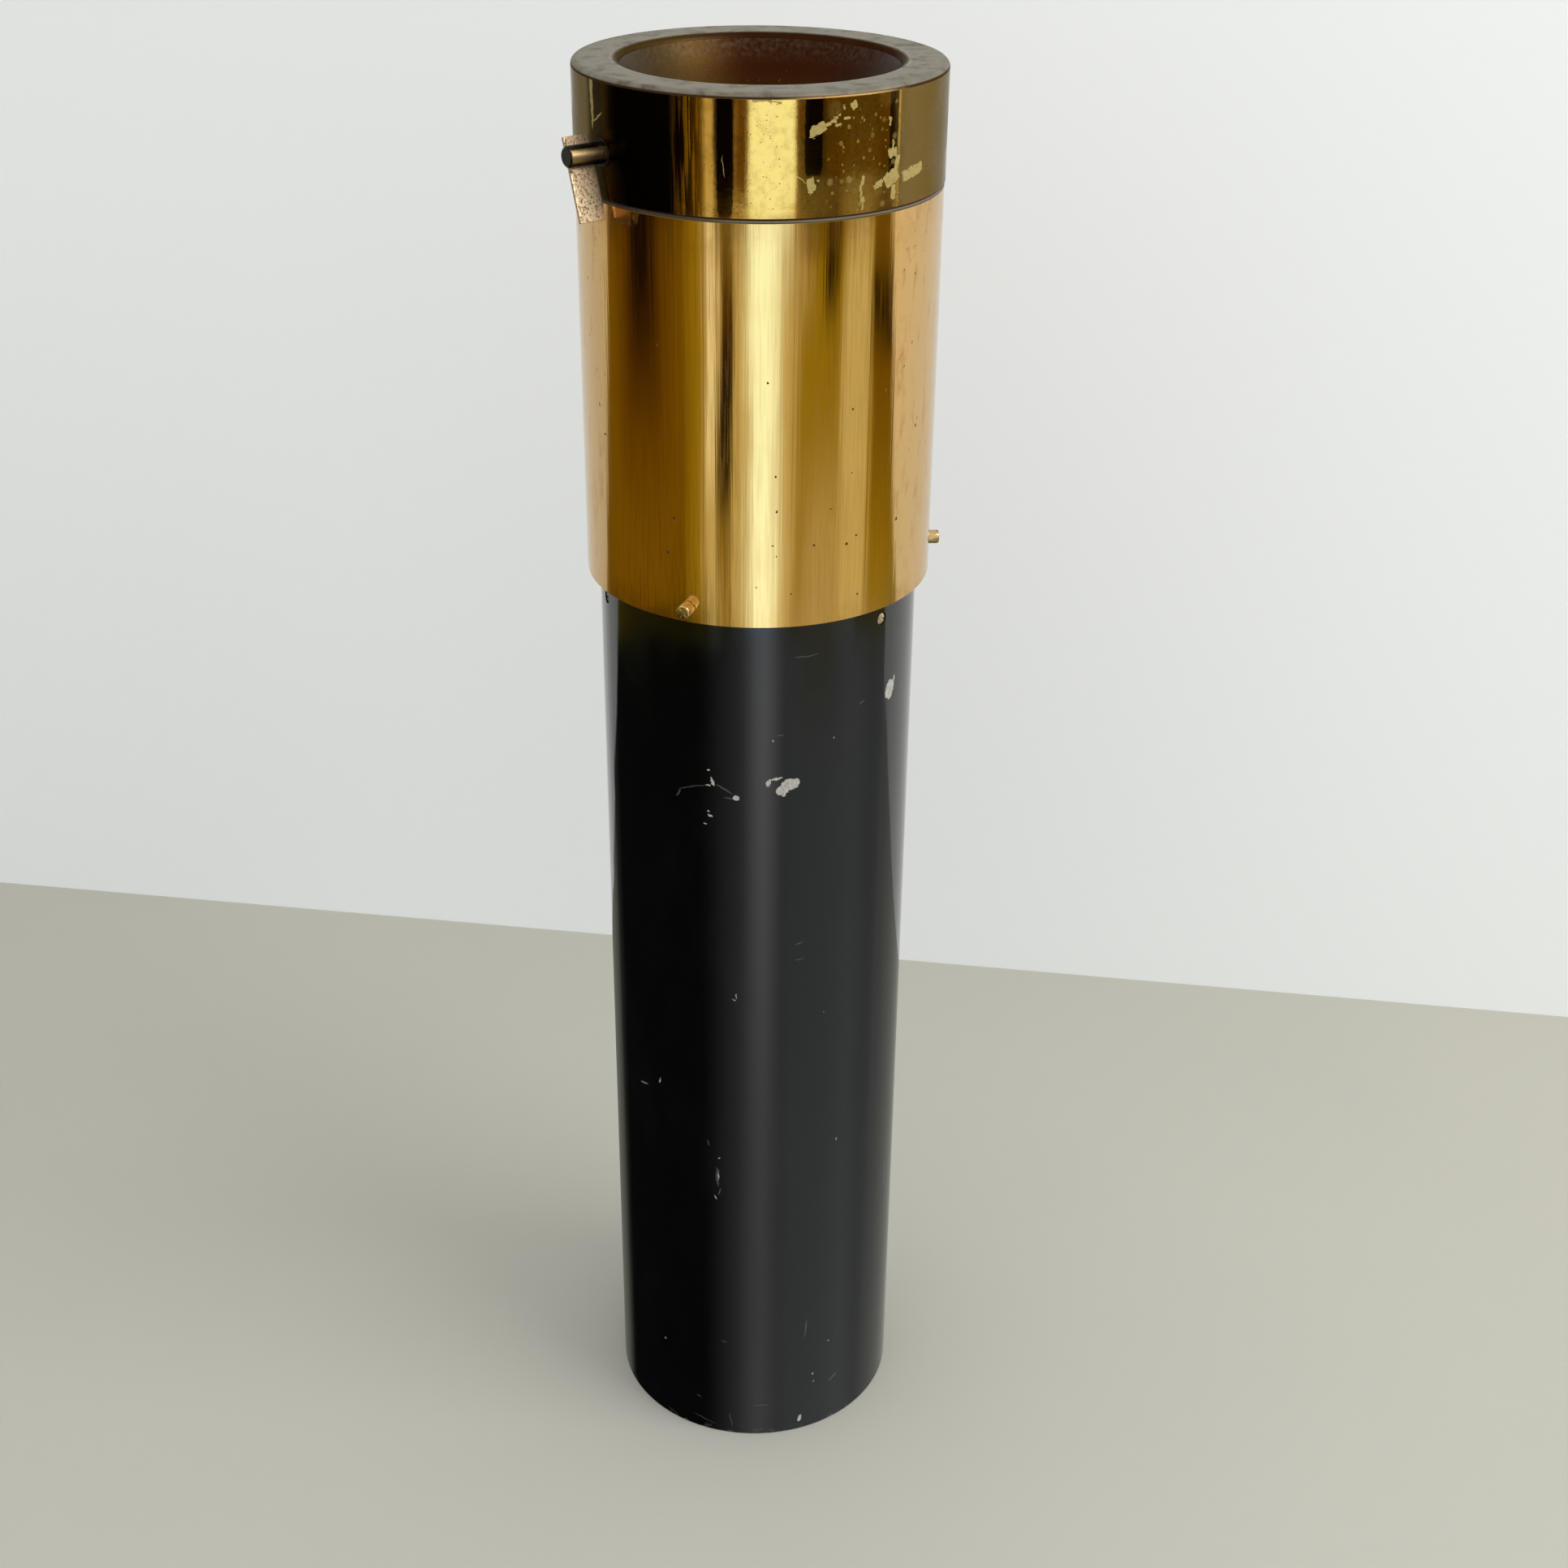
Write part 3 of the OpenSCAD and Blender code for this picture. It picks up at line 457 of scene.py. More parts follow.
# %% Groups for coordinates and placed marks
MIDDLE_COLOUR = (0.5, 0.5, 0.5)
MARK_EDGE = (1.20, 0.80)
MARK_INPUTS = {"Sheet": "Vector", "Place": "Vector", "Turn": "Float", "Size": "Vector"}

round_sheet, net, given, result = shader_group(
    "round_sheet", {"Position": "Vector", "Radius": "Float"},
    {"Sheet": "Vector", "Azimuth": "Float", "Level": "Float", "Reach": "Float"},
)
axes = net.split(given["Position"])
turn = net.math("ARCTAN2", axes["X"], net.times(axes["Y"], -1.0))
unrolled = net.joined(net.times(turn, given["Radius"]), axes["Z"])
net.feed(result["Sheet"], unrolled)
net.feed(result["Azimuth"], net.math("DEGREES", turn))
net.feed(result["Level"], axes["Z"])
flat = net.joined(axes["X"], axes["Y"])
net.feed(result["Reach"], net.vector("LENGTH", flat)[1])


def shifting_group(name, pattern, detail=None):
    """A group that pushes coordinates about by the colours of a pattern."""
    group, net, given, result = shader_group(
        name, {"Vector": "Vector", "Grain": "Float", "Amount": "Float"}, {"Vector": "Vector"},
    )
    fineness = net.math("DIVIDE", 1.0, given["Grain"])
    colour = net.node(pattern, given["Vector"], None, fineness, detail).outputs["Color"]
    shift = net.vector("SUBTRACT", colour, MIDDLE_COLOUR)[0]
    push = net.vector("SCALE", shift, None, None, given["Amount"])[0]
    net.feed(result["Vector"], net.vector("ADD", given["Vector"], push)[0])
    return group


ragged = shifting_group("ragged", "ShaderNodeTexNoise", 3.0)
broken = shifting_group("broken", "ShaderNodeTexVoronoi")


def mark_group(name, square):
    """A group that adds one mark, oval or nearly square, to the mask that rides as the third coordinate."""
    group, net, given, result = shader_group(name, MARK_INPUTS, {"Sheet": "Vector"})
    turn = net.joined(None, None, given["Turn"])
    local = net.node(
        "ShaderNodeMapping", given["Sheet"], given["Place"], turn, given["Size"], vector_type="TEXTURE",
    ).outputs[0]
    flat = net.scaled(local, (1, 1, 0))
    for _ in range(2 if square else 0):
        flat = net.scaled(flat, flat)
    distance = net.vector("LENGTH", flat)[1]
    axes = net.split(given["Sheet"])
    mask = net.most(axes["Z"], net.ramp(distance, *MARK_EDGE))
    net.feed(result["Sheet"], net.joined(axes["X"], axes["Y"], mask))
    return group


placed_spot = mark_group("placed_spot", False)
placed_patch = mark_group("placed_patch", True)


def marks(net, sheet, places, radius, shape=placed_spot):
    """One mask for a table of marks: pixel of the photograph, width and height in mm, turn in degrees.

    The mask rides along as the sheet's third coordinate, from one mark to the next.
    """
    sheet = net.scaled(sheet, (1, 1, 0))
    for px, py, width, height, turn in places.values():
        azimuth, level = wall_spot(px, py, radius)
        place = (math.radians(azimuth) * radius, level, 0)
        size = (width / 2, height / 2, 1)
        sheet = net.effect(shape, sheet, place, math.radians(turn), size)
    return net.split(sheet)["Z"]


# %% Groups for pits, streaks and clouds
pits, net, given, result = shader_group(
    "pits", {"Position": "Vector", "Cell": "Float", "Share": "Float", "Width": "Float"}, {"Mask": "Float"},
)
fineness = net.math("DIVIDE", 1.0, given["Cell"])
cells = net.node("ShaderNodeTexVoronoi", given["Position"], None, fineness).outputs
chance = net.node("ShaderNodeSeparateColor", cells["Color"]).outputs
there = net.math("LESS_THAN", chance[0], given["Share"])
width = net.times(given["Width"], net.plus(chance[1], 0.3))
inside = net.ramp(cells["Distance"], width, net.times(width, 0.5))
net.feed(result["Mask"], net.times(there, inside))

streaks, net, given, result = shader_group(
    "streaks", {"Position": "Vector", "Width": "Float", "Length": "Float"}, {"Value": "Float"},
)
thin = net.math("DIVIDE", 1.0, given["Width"])
long = net.math("DIVIDE", 1.0, given["Length"])
stretch = net.joined(thin, thin, long)
net.feed(result["Value"], net.noise(net.scaled(given["Position"], stretch), 1.0, 3.0))

clouds, net, given, result = shader_group(
    "clouds", {"Position": "Vector", "Size": "Float", "Low": "Float", "High": "Float"}, {"Mask": "Float"},
)
fineness = net.math("DIVIDE", 1.0, given["Size"])
cloud = net.node("ShaderNodeTexNoise", given["Position"], None, fineness, 5.0, 0.6).outputs[0]
net.feed(result["Mask"], net.ramp(cloud, given["Low"], given["High"]))

print("shared groups:", [group.name for group in bpy.data.node_groups])

# %% [markdown]
# ## Starting and closing a finish
# Every finish starts from the piece's own coordinates in millimetres and ends in one Principled shader.
# Its relief is a height in millimetres that a Bump node turns into a normal.

# %% Finish helpers
FINISHES = {}


def new_finish(name):
    material = bpy.data.materials.new(name)
    FINISHES[name] = material
    material.use_nodes = True
    net = Net(material.node_tree)
    place = net.node("ShaderNodeTexCoord").outputs["Object"]
    return material, net, net.scaled(place, (1 / MM,) * 3)


def close_finish(material, net, colour, metallic, roughness, relief):
    shader = material.node_tree.nodes["Principled BSDF"]
    bump = net.node("ShaderNodeBump", 1.0, MM)
    net.feed(bump.inputs["Height"], relief)
    net.feed(shader.inputs["Normal"], bump.outputs[0])
    net.feed(shader.inputs["Base Color"], colour)
    net.feed(shader.inputs["Metallic"], metallic)
    net.feed(shader.inputs["Roughness"], roughness)
    print("finish:", material.name, len(material.node_tree.nodes), "nodes")
    return shader


# %% [markdown]
# ## Polished brass of the sleeve
# The sleeve is drawn brass tube, polished and lacquered long ago. Drawing leaves faint upright lines that
# break the mirror image into streaks, the wall is never quite true, and moisture has left brown pits and
# an orange bloom near the seam. The pits that catch the eye are placed one by one, and a random scatter
# fills the rest. Two placed orange patches just under the lever are painted shade, and a thin pale line
# just under the seam, on the lit side only, is a painted highlight.

# %% Sleeve finish
SLEEVE_PITS = {
    "upper_middle": (946, 472, 0.8, 0.9, 0), "upper_right": (1051, 504, 0.9, 1.1, 0),
    "middle": (956, 588, 0.9, 1.1, 0), "middle_right": (1050, 583, 0.7, 0.8, 0),
    "low_middle": (957, 631, 0.9, 1.1, 0), "low_right": (1024, 627, 1.5, 0.7, 10),
    "right_a": (1055, 659, 1.1, 0.9, -20), "right_b": (1043, 670, 1.3, 1.3, 0),
    "foot_a": (952, 673, 1.2, 0.5, 0), "foot_b": (1003, 672, 1.3, 0.9, -25),
    "edge_a": (1104, 639, 1.2, 1.6, 0), "edge_b": (1128, 524, 1.2, 1.7, 0),
    "left_a": (830, 639, 1.2, 1.6, 0), "left_b": (823, 681, 1.1, 1.7, 0),
    "left_strip_a": (746, 535, 2.0, 0.8, 0), "left_strip_b": (739, 498, 0.8, 2.1, 20),
    "rim_a": (975, 732, 0.9, 0.8, 0), "rim_b": (932, 724, 0.7, 0.7, 0), "rim_c": (851, 731, 0.8, 0.8, 0),
    "right_c": (1114, 451, 0.8, 1.1, 0), "right_d": (1092, 480, 0.7, 0.9, 0),
    "right_e": (957, 686, 0.7, 0.7, 0),
}
# Painted shade: two patches just under the lever, in the stain's orange
SLEEVE_PAINTED_SHADE = {"under_lever": (768, 262, 11, 11, 0), "beside_lever": (783, 266, 3, 7, 0)}
BRASS = (0.83, 0.50, 0.165, 1)
WARM_BRASS = (0.79, 0.455, 0.13, 1)
FLANK_BRASS = (0.66, 0.42, 0.165, 1)
BRUSHED_BRASS = (0.60, 0.35, 0.11, 1)
# Orange of the real stains and of the painted shade under the lever
ORANGE_STAIN_AND_SHADE = (0.46, 0.20, 0.035, 1)
PIT_BROWN = (0.10, 0.050, 0.012, 1)
GRIME = (0.020, 0.012, 0.006, 1)
# Pale tone of the painted highlight just under the seam
SEAM_PAINTED_HIGHLIGHT = (0.17, 0.14, 0.085, 1)

polished_brass, net, place = new_finish("polished_brass")
sheet, azimuth, level = net.use(round_sheet, place, sleeve_r)[:3]
upright = net.scaled(place, (1, 1, 0.3))
streak = net.effect(streaks, place, 2.6, 240.0)
fine_streak = net.effect(streaks, place, 0.7, 70.0)
brushed = net.ramp(net.effect(streaks, place, 0.9, 26.0), 0.42, 0.66)
wave = net.noise(upright, 42.0, 1.0)
ripple = net.noise(net.scaled(place, (1, 1, 0.4)), 14.0, 1.0)
bloom = net.effect(clouds, place, 30.0, 0.42, 0.72)
blotch = net.effect(clouds, upright, 4.5, 0.52, 0.74)
speckle = net.effect(clouds, place, 2.4, 0.55, 0.7)
flanks = net.most(net.ramp(azimuth, -50.0, -59.0), net.ramp(azimuth, 42.0, 50.0))
seam_grime = net.ramp(level, seam_z - 1.7, seam_z - 1.4)
# Painted highlight: a thin pale line just under the seam, on the lit side only
lit_side = net.ramp(azimuth, -26.0, -4.0)
seam_painted_highlight = net.times(net.between(level, seam_z - 1.05, seam_z - 0.35, 0.12), lit_side)

# Stains, painted shade under the lever, and pits
seam_bloom = net.plus(net.times(bloom, 0.30), 0.02)
near_seam = net.times(net.ramp(level, seam_z - 26, seam_z), seam_bloom)
near_foot = net.times(net.ramp(level, sleeve_foot + 14, sleeve_foot), bloom, 0.55)
flank_blotch = net.total(net.times(blotch, 0.5), (net.times(bloom, speckle), 0.6))
on_flanks = net.times(flanks, flank_blotch)
# Painted shade under the lever, added to the stains
painted_shade_patches = marks(net, net.effect(ragged, sheet, 5.0, 5.0), SLEEVE_PAINTED_SHADE, sleeve_r)
stain_and_painted_shade = net.total(net.plus(near_seam, near_foot, on_flanks), (painted_shade_patches, 0.9))
stain_and_painted_shade = net.math("MINIMUM", stain_and_painted_shade, 1.0)
placed_pits = marks(net, net.effect(ragged, sheet, 0.9, 0.9), SLEEVE_PITS, sleeve_r)
long_pits = net.effect(pits, net.scaled(place, (1, 1, 0.5)), 5.0, 0.25, 0.10)
scattered_pits = net.effect(pits, place, 11.0, 0.14, 0.05)
pit = net.most(placed_pits, scattered_pits, net.times(flanks, long_pits, 0.8))

colour = net.layers(
    net.mix(net.effect(clouds, place, 60.0, 0.35, 0.75), BRASS, WARM_BRASS),
    (brushed, 0.28, BRUSHED_BRASS),
    (flanks, 1, FLANK_BRASS),
    (stain_and_painted_shade, 1, ORANGE_STAIN_AND_SHADE),
    (pit, 1, PIT_BROWN),
    (seam_grime, 0.94, GRIME),
    (seam_painted_highlight, 0.8, SEAM_PAINTED_HIGHLIGHT),
)
# Pits, seam grime and the painted seam highlight, where the brass turns rough
overlay_mask = net.most(pit, seam_grime, seam_painted_highlight)
dull = net.most(net.times(pit, 0.25), net.times(seam_grime, 0.7), seam_painted_highlight)
roughness = net.total(0.035, (fine_streak, 0.08), (brushed, 0.05), (stain_and_painted_shade, 0.18), (overlay_mask, 0.4))
relief = net.total(
    net.times(streak, 0.055), (fine_streak, 0.009), (wave, 0.8), (pit, -0.03), (ripple, 0.05),
)
close_finish(polished_brass, net, colour, net.inverse(dull), roughness, relief)

# %% [markdown]
# ## Brown brass of the bowl
# The dish has caught years of ash, and the lip that leads into it has too. Satin brown covers both, under a
# fine grain of dark specks, and deeper down it turns olive gold in clouds of wear. The left half is painted
# lighter and its olive gold stronger: a painted reflection of the light. Lip and dish are two solids with
# two finishes, so their common tone is a group, and no step shows where they meet.

# %% Bowl tone
DISH_BROWN = (0.034, 0.009, 0.002, 1)
# Lighter tone of the bowl's left half, a painted reflection of light
DISH_LEFT_PAINTED_LIGHT = (0.066, 0.038, 0.0095, 1)
DISH_OLIVE = (0.085, 0.052, 0.004, 1)
SPECK_DARK = (0.012, 0.006, 0.003, 1)

bowl_tone, net, given, result = shader_group(
    "bowl_tone", {"Position": "Vector"}, {"Color": "Color", "Specks": "Float", "Worn": "Float"},
)
place = given["Position"]
axes = net.split(place)
cloud = net.effect(clouds, place, 14.0, 0.35, 0.7)
worn = net.times(net.ramp(axes["Z"], cap_top - 14, cap_top - 26), net.total(0.25, (cloud, 0.75)))
specks = net.most(net.effect(pits, place, 1.1, 0.3, 0.3), net.effect(clouds, place, 1.0, 0.55, 0.7))
# Painted reflection: the left half of the bowl is painted lighter, and its olive gold stronger
painted_light_left = net.times(net.ramp(axes["X"], -4.0, -44.0), 0.9)
tone_patches = net.times(worn, net.plus(0.25, painted_light_left))
colour = net.layers(
    DISH_BROWN, (painted_light_left, 1, DISH_LEFT_PAINTED_LIGHT), (tone_patches, 1, DISH_OLIVE), (specks, 0.55, SPECK_DARK),
)
net.feed(result["Color"], colour)
net.feed(result["Specks"], specks)
net.feed(result["Worn"], worn)
print("bowl tone:", len(bowl_tone.nodes), "nodes")

# %% [markdown]
# ## Lacquered brass of the cap
# The cap is the same brass under a dark, aged lacquer. Where the lacquer is thin it still mirrors gold,
# elsewhere it has turned olive and brown, with round drops dried into it. It has flaked off in pale matt
# patches, it has burnt black beside the lever, it has turned dull and grey on the flat top where ash
# fell, and the rim's edge is rubbed back to bright metal in front. One material does it all, because one
# spun sheet makes wall, top and lip: masks of level and azimuth tell the regions apart.

# %% Cap finish
CAP_FLAKES = {
    "upper_body": (1009, 159, 6.2, 4.0, 25), "upper_foot": (1001.5, 165, 2.4, 3.0, 0),
    "upper_tip": (1024, 151, 4.6, 1.5, 20), "crumb_a": (1030.5, 144.5, 1.4, 1.0, 10),
    "crumb_b": (1035, 142.5, 1.0, 1.0, 0), "crumb_c": (1044.5, 145.5, 2.6, 1.1, 8),
    "crumb_d": (1041, 132, 1.2, 1.0, 0), "crumb_e": (1033.5, 154.5, 2.2, 0.8, 15),
    "crumb_f": (1052, 129, 2.4, 3.0, 20), "lower_body": (999, 228, 3.6, 5.2, 10),
    "lower_tail": (1000, 236.5, 1.4, 1.8, 0), "lower_crumb": (1008.7, 223, 0.7, 1.0, 0),
    "upright_head": (1063, 222, 1.6, 3.6, 0), "upright_body": (1061, 237, 1.0, 5.6, 0),
    "upright_foot": (1063, 246, 1.6, 2.0, 0), "upright_tail": (1063, 253, 0.6, 3.4, 0),
    "cross_head": (1101, 177, 0.9, 4.0, 0), "cross_neck": (1100, 188, 4.4, 3.4, 10),
    "cross_stem": (1105, 201, 2.4, 7.0, -12), "cross_body": (1099, 218, 8.0, 5.6, 25),
    "cross_tip": (1083, 227, 5.0, 1.8, 25), "cross_tail": (1100.5, 236, 2.6, 5.6, -8),
    "cross_bar": (1124.5, 211, 14.0, 4.4, 10), "right_crumb": (1097, 149, 0.9, 3.0, 0),
    "rim_chip": (939, 124, 8, 1.2, 0), "rim_chip_tail": (954, 126, 5, 1.0, -8),
}
CAP_CRACKS = {
    "crack_upper": (728, 108, 2.6, 15, 0), "crack_middle": (729.5, 136, 2.0, 14, 0),
    "crack_branch": (735, 145, 10, 0.8, 32), "hair_a": (891, 205, 0.35, 8, 4),
    "hair_b": (987, 220, 4.8, 0.35, -41),
}
CAP_RUNS = {
    "left_run": (893, 192, 6.4, 50, 0), "right_run": (1003, 168, 7.4, 31, 0),
    "far_run": (1102, 150, 5.0, 46, 0),
}
GOLD_LACQUER = (0.76, 0.40, 0.085, 1)
AMBER_LACQUER = (0.58, 0.31, 0.055, 1)
OLIVE_LACQUER = (0.42, 0.27, 0.05, 1)
BROWN_LACQUER = (0.19, 0.105, 0.02, 1)
RIGHT_LACQUER = (0.20, 0.13, 0.04, 1)
RIGHT_HAZE = (0.27, 0.23, 0.16, 1)
LEFT_LACQUER = (0.165, 0.125, 0.070, 1)
BLACK_LACQUER = (0.007, 0.005, 0.003, 1)
DROP_LACQUER = (0.55, 0.42, 0.15, 1)
TIDE_LACQUER = (0.30, 0.20, 0.07, 1)
SEAM_RUST = (0.30, 0.11, 0.02, 1)
FLAKE = (0.42, 0.32, 0.105, 1)
FLAKE_DARK = (0.29, 0.215, 0.065, 1)
TOP_GREY = (0.205, 0.185, 0.142, 1)
TOP_BROWN = (0.075, 0.054, 0.030, 1)
LIP_LIGHT = (0.36, 0.31, 0.23, 1)
RIM_BROWN = (0.050, 0.026, 0.010, 1)
LACQUER_GLOSS = (0.55, 0.50, 0.42, 1)

patina_brass, net, place = new_finish("patina_brass")
sheet, azimuth, level, reach = net.use(round_sheet, place, cap_r)
height = net.math("SUBTRACT", level, cap_foot)
drop = net.math("SUBTRACT", cap_top, level)
inset = net.math("SUBTRACT", cap_r, reach)
fine_streak = net.effect(streaks, place, 0.6, 30.0)
mottle = net.effect(clouds, place, 16.0, 0.38, 0.66)
fine_mottle = net.effect(clouds, place, 3.6, 0.42, 0.66)
speckle = net.effect(clouds, place, 1.6, 0.50, 0.68)

# The lacquer's regions round the wall
aged = net.times(net.ramp(azimuth, 10.5, 12.0), net.total(0.45, (mottle, 0.55)))
right_side = net.ramp(azimuth, 44.6, 45.4)
right_edge = net.ramp(azimuth, 58.0, 80.0)
left_side = net.ramp(azimuth, -50.0, -55.0)
at_back = net.ramp(net.math("ABSOLUTE", azimuth), 100.0, 165.0)
blackening = net.total(
    net.times(net.ramp(azimuth, -64.0, -59.0), 0.85), (net.ramp(azimuth, -59.0, -46.0), 0.15),
)
blackened = net.times(blackening, net.ramp(azimuth, -23.5, -27.0))

# Runs, drops, specks and what the seam has left
run_lines = net.ramp(net.effect(streaks, place, 1.1, 30.0), 0.40, 0.54)
runs = net.times(net.between(azimuth, -28.0, -15.0, 1.5), run_lines, net.ramp(azimuth, -13.0, -22.0))
dark_runs = marks(net, net.effect(ragged, sheet, 3.0, 1.4), CAP_RUNS, cap_r, placed_patch)
fine_pits = net.effect(pits, net.effect(ragged, place, 0.8, 0.6), 1.3, 0.2, 0.24)
specks = net.times(net.ramp(azimuth, 12.0, 9.0), fine_pits)
drops = net.most(
    net.times(net.effect(pits, place, 12.0, 0.45, 0.40), 0.45),
    net.effect(pits, place, 4.5, 0.40, 0.36), net.effect(pits, place, 2.2, 0.34, 0.36),
)
drops = net.times(drops, net.between(azimuth, 19.5, 46.0, 1.0))
tide_line = net.ramp(net.total(height, (fine_mottle, 3.0)), 19.0, 14.0)
tide = net.times(tide_line, net.between(azimuth, 14.0, 46.0, 4.0), 0.25)
rust_patches = net.total(0.1, (mottle, 0.6))
rusty = net.times(net.ramp(height, 4.0, 0.5), rust_patches, net.inverse(blackened))
seam_grime = net.ramp(height, 0.65, 0.45)

# Flakes and cracks, down to dull bare metal
flakes = marks(net, net.effect(broken, sheet, 1.9, 0.9), CAP_FLAKES, cap_r, placed_patch)
cracks = marks(net, net.effect(ragged, sheet, 4.0, 2.0), CAP_CRACKS, cap_r)
bare = net.most(flakes, net.times(cracks, 0.8))

wall_colour = net.layers(
    net.mix(net.times(fine_mottle, 0.75), GOLD_LACQUER, AMBER_LACQUER),
    (aged, 1, OLIVE_LACQUER),
    (net.times(aged, speckle), 0.6, BROWN_LACQUER),
    (specks, 0.85, PIT_BROWN),
    (runs, 0.94, BLACK_LACQUER),
    (right_side, 1, net.mix(right_edge, RIGHT_LACQUER, RIGHT_HAZE)),
    (dark_runs, 0.85, BLACK_LACQUER),
    (drops, 0.5, DROP_LACQUER),
    (left_side, 1, LEFT_LACQUER),
    (blackened, 1, BLACK_LACQUER),
    (at_back, 1, RIGHT_HAZE),
    (tide, 1, TIDE_LACQUER),
    (rusty, 0.75, SEAM_RUST),
    (seam_grime, 0.95, GRIME),
    (bare, 1, net.mix(speckle, FLAKE, FLAKE_DARK)),
)

# The rim's edge, the flat top and the lip
on_rim = net.ramp(drop, 2.7, 2.3)
rim_patches = net.ramp(net.noise(place, 7.0, 3.0), 0.28, 0.45)
worn_rim = net.times(
    net.between(drop, 1.9, 2.6, 0.25), net.between(azimuth, 12.0, 42.0, 8.0), rim_patches,
)
on_top = net.most(net.ramp(drop, 1.8, 1.2), net.ramp(inset, 7.0, 9.0))
on_lip = net.ramp(inset, 17.0, 19.2)
flat_top = net.times(on_top, net.inverse(on_lip))
lip_patches = net.ramp(net.noise(place, 5.0, 3.0), 0.40, 0.6)
lip_line = net.times(net.between(inset, 16.6, 17.2, 0.25), lip_patches)
turned_lines = net.joined(net.times(azimuth, 0.12), net.times(reach, 1.6))
scratches = net.ramp(net.noise(turned_lines, 1.0, 4.0), 0.58, 0.72)
top_blotch = net.most(net.effect(clouds, place, 9.0, 0.46, 0.70), net.times(scratches, 0.8))
outer_brown = net.times(net.ramp(inset, 6.0, 2.0), net.total(0.05, (mottle, 0.4)))
# The lip takes the bowl's tone, painted reflection on the left included
top_colour = net.layers(
    TOP_GREY,
    (top_blotch, 0.85, TOP_BROWN),
    (outer_brown, 1, TOP_BROWN),
    (on_lip, 1, net.use(bowl_tone, place)["Color"]),
    (lip_line, 0.7, LIP_LIGHT),
)
colour = net.layers(wall_colour, (on_rim, 1, RIM_BROWN), (worn_rim, 0.9, BRASS), (on_top, 1, top_colour))

# Gloss, metal and relief
hazy = net.times(net.most(left_side, right_side), net.total(0.3, (mottle, 0.7)))
wall_rough = net.total(
    0.04, (fine_streak, 0.06), (aged, 0.05), (drops, 0.14), (hazy, 0.2), (bare, 0.4), (blackened, 0.15),
    (tide, 0.16), (on_rim, 0.25),
)
top_rough = net.math("SUBTRACT", 0.52, net.times(on_lip, 0.10))
roughness = net.total(net.times(net.inverse(on_top), wall_rough), (on_top, top_rough))
dull = net.most(
    net.times(flat_top, 0.75), net.times(hazy, 0.12), net.times(bare, 0.7),
    net.times(tide, 0.25), net.times(seam_grime, 0.7),
)
top_pits = net.times(flat_top, top_blotch)
relief = net.total(
    net.times(fine_streak, 0.004), (drops, 0.02), (bare, -0.05), (top_pits, -0.04),
    (net.noise(place, 38.0, 1.0), 0.2), (fine_mottle, 0.003),
)
shader = close_finish(patina_brass, net, colour, net.inverse(dull), roughness, relief)
shader.inputs["Specular Tint"].default_value = LACQUER_GLOSS

# %% [markdown]
# ## Brown brass of the dish
# The dish and the flap that closes it take the bowl's tone, its painted reflection on the left included,
# with a thin film of ash under the lip and a few pale scratches.

# %% Dish finish
DISH_DUST = (0.16, 0.13, 0.085, 1)

dish_brass, net, place = new_finish("dish_brass")
bowl = net.use(bowl_tone, place)
level = net.split(place)["Z"]
ash = net.effect(clouds, place, 2.0, 0.35, 0.75)
dust = net.times(net.ramp(level, cap_top - 14, cap_top - 3), ash, 0.22)
scratch_lines = net.effect(streaks, net.scaled(place, (1, 0.2, 3.0)), 0.9, 12.0)
scratch = net.ramp(scratch_lines, 0.70, 0.74)
colour = net.mix(net.most(dust, net.times(scratch, 0.4)), bowl["Color"], DISH_DUST)
roughness = net.total(0.40, (dust, 0.25), (bowl["Specks"], 0.12), (bowl["Worn"], -0.06))
relief = net.total(net.times(bowl["Specks"], -0.012), (net.noise(place, 14.0, 2.0), 0.05), (dust, 0.02))
close_finish(dish_brass, net, colour, net.inverse(net.times(dust, 0.5)), roughness, relief)

# %% [markdown]
# ## Black enamel of the tube
# Stove enamel on steel is a glossy black that mirrors the room faintly, more towards its edges. Knocks
# have chipped it down to pale primer and left hairline scratches. Each chip is a mark at its place whose
# edge is made jagged by noise and small cells, and it sinks a little below the enamel. Fine rubbing all
# round dulls the gloss in streaks.

# %% Tube finish
TUBE_CHIPS = {
    "big_chip": (974, 966, 9, 6, 10), "big_chip_foot": (965, 973, 7, 5, 25),
    "big_chip_drip": (966, 979, 1.6, 3, 0), "chip_bar": (957, 960, 5.4, 1.2, 8),
    "chip_beside": (947, 965, 2.4, 3.6, -20), "left_chip": (878, 963, 1.6, 4.6, 15),
    "left_crumb": (873, 949, 1.4, 0.9, 0), "left_crumb_low": (872, 967, 2.6, 0.9, 15),
    "middle_chip": (907, 984, 3.2, 2.4, -20), "low_chip": (875, 1005, 3.0, 1.0, -20),
    "low_crumb": (869, 1015, 1.2, 0.7, 0), "low_crumb_top": (873, 1000, 1.0, 0.7, 0),
    "drop": (1096, 849, 7.0, 10, 0), "drop_tail": (1101, 838, 1.4, 6, -10),
    "dot_a": (953, 913, 1.0, 1.0, 0), "dot_c": (1028, 909, 0.6, 1.2, 0), "hook": (907, 1228, 0.5, 3.4, 0),
    "hook_foot": (904, 1232, 2.2, 0.5, 0), "knot": (886, 1427, 1.2, 0.8, 30),
    "upright": (885, 1449, 0.6, 5, 6), "upright_foot": (882, 1475, 0.7, 2.6, 20),
    "foot_chip": (985, 1747, 2.2, 4.4, -15), "foot_crumb": (1001, 1693, 0.8, 0.8, 0),
    "foot_crumb_low": (1002, 1702, 0.8, 0.9, 0), "foot_dot": (1020, 1652, 0.7, 0.9, 0),
    "left_dot": (820, 1648, 0.8, 1.0, 0), "wave": (794, 1334, 6, 0.45, 10),
    "wave_tip": (813, 1331, 0.6, 4, -20), "right_dot": (1030, 1403, 0.6, 1.6, -10),
}
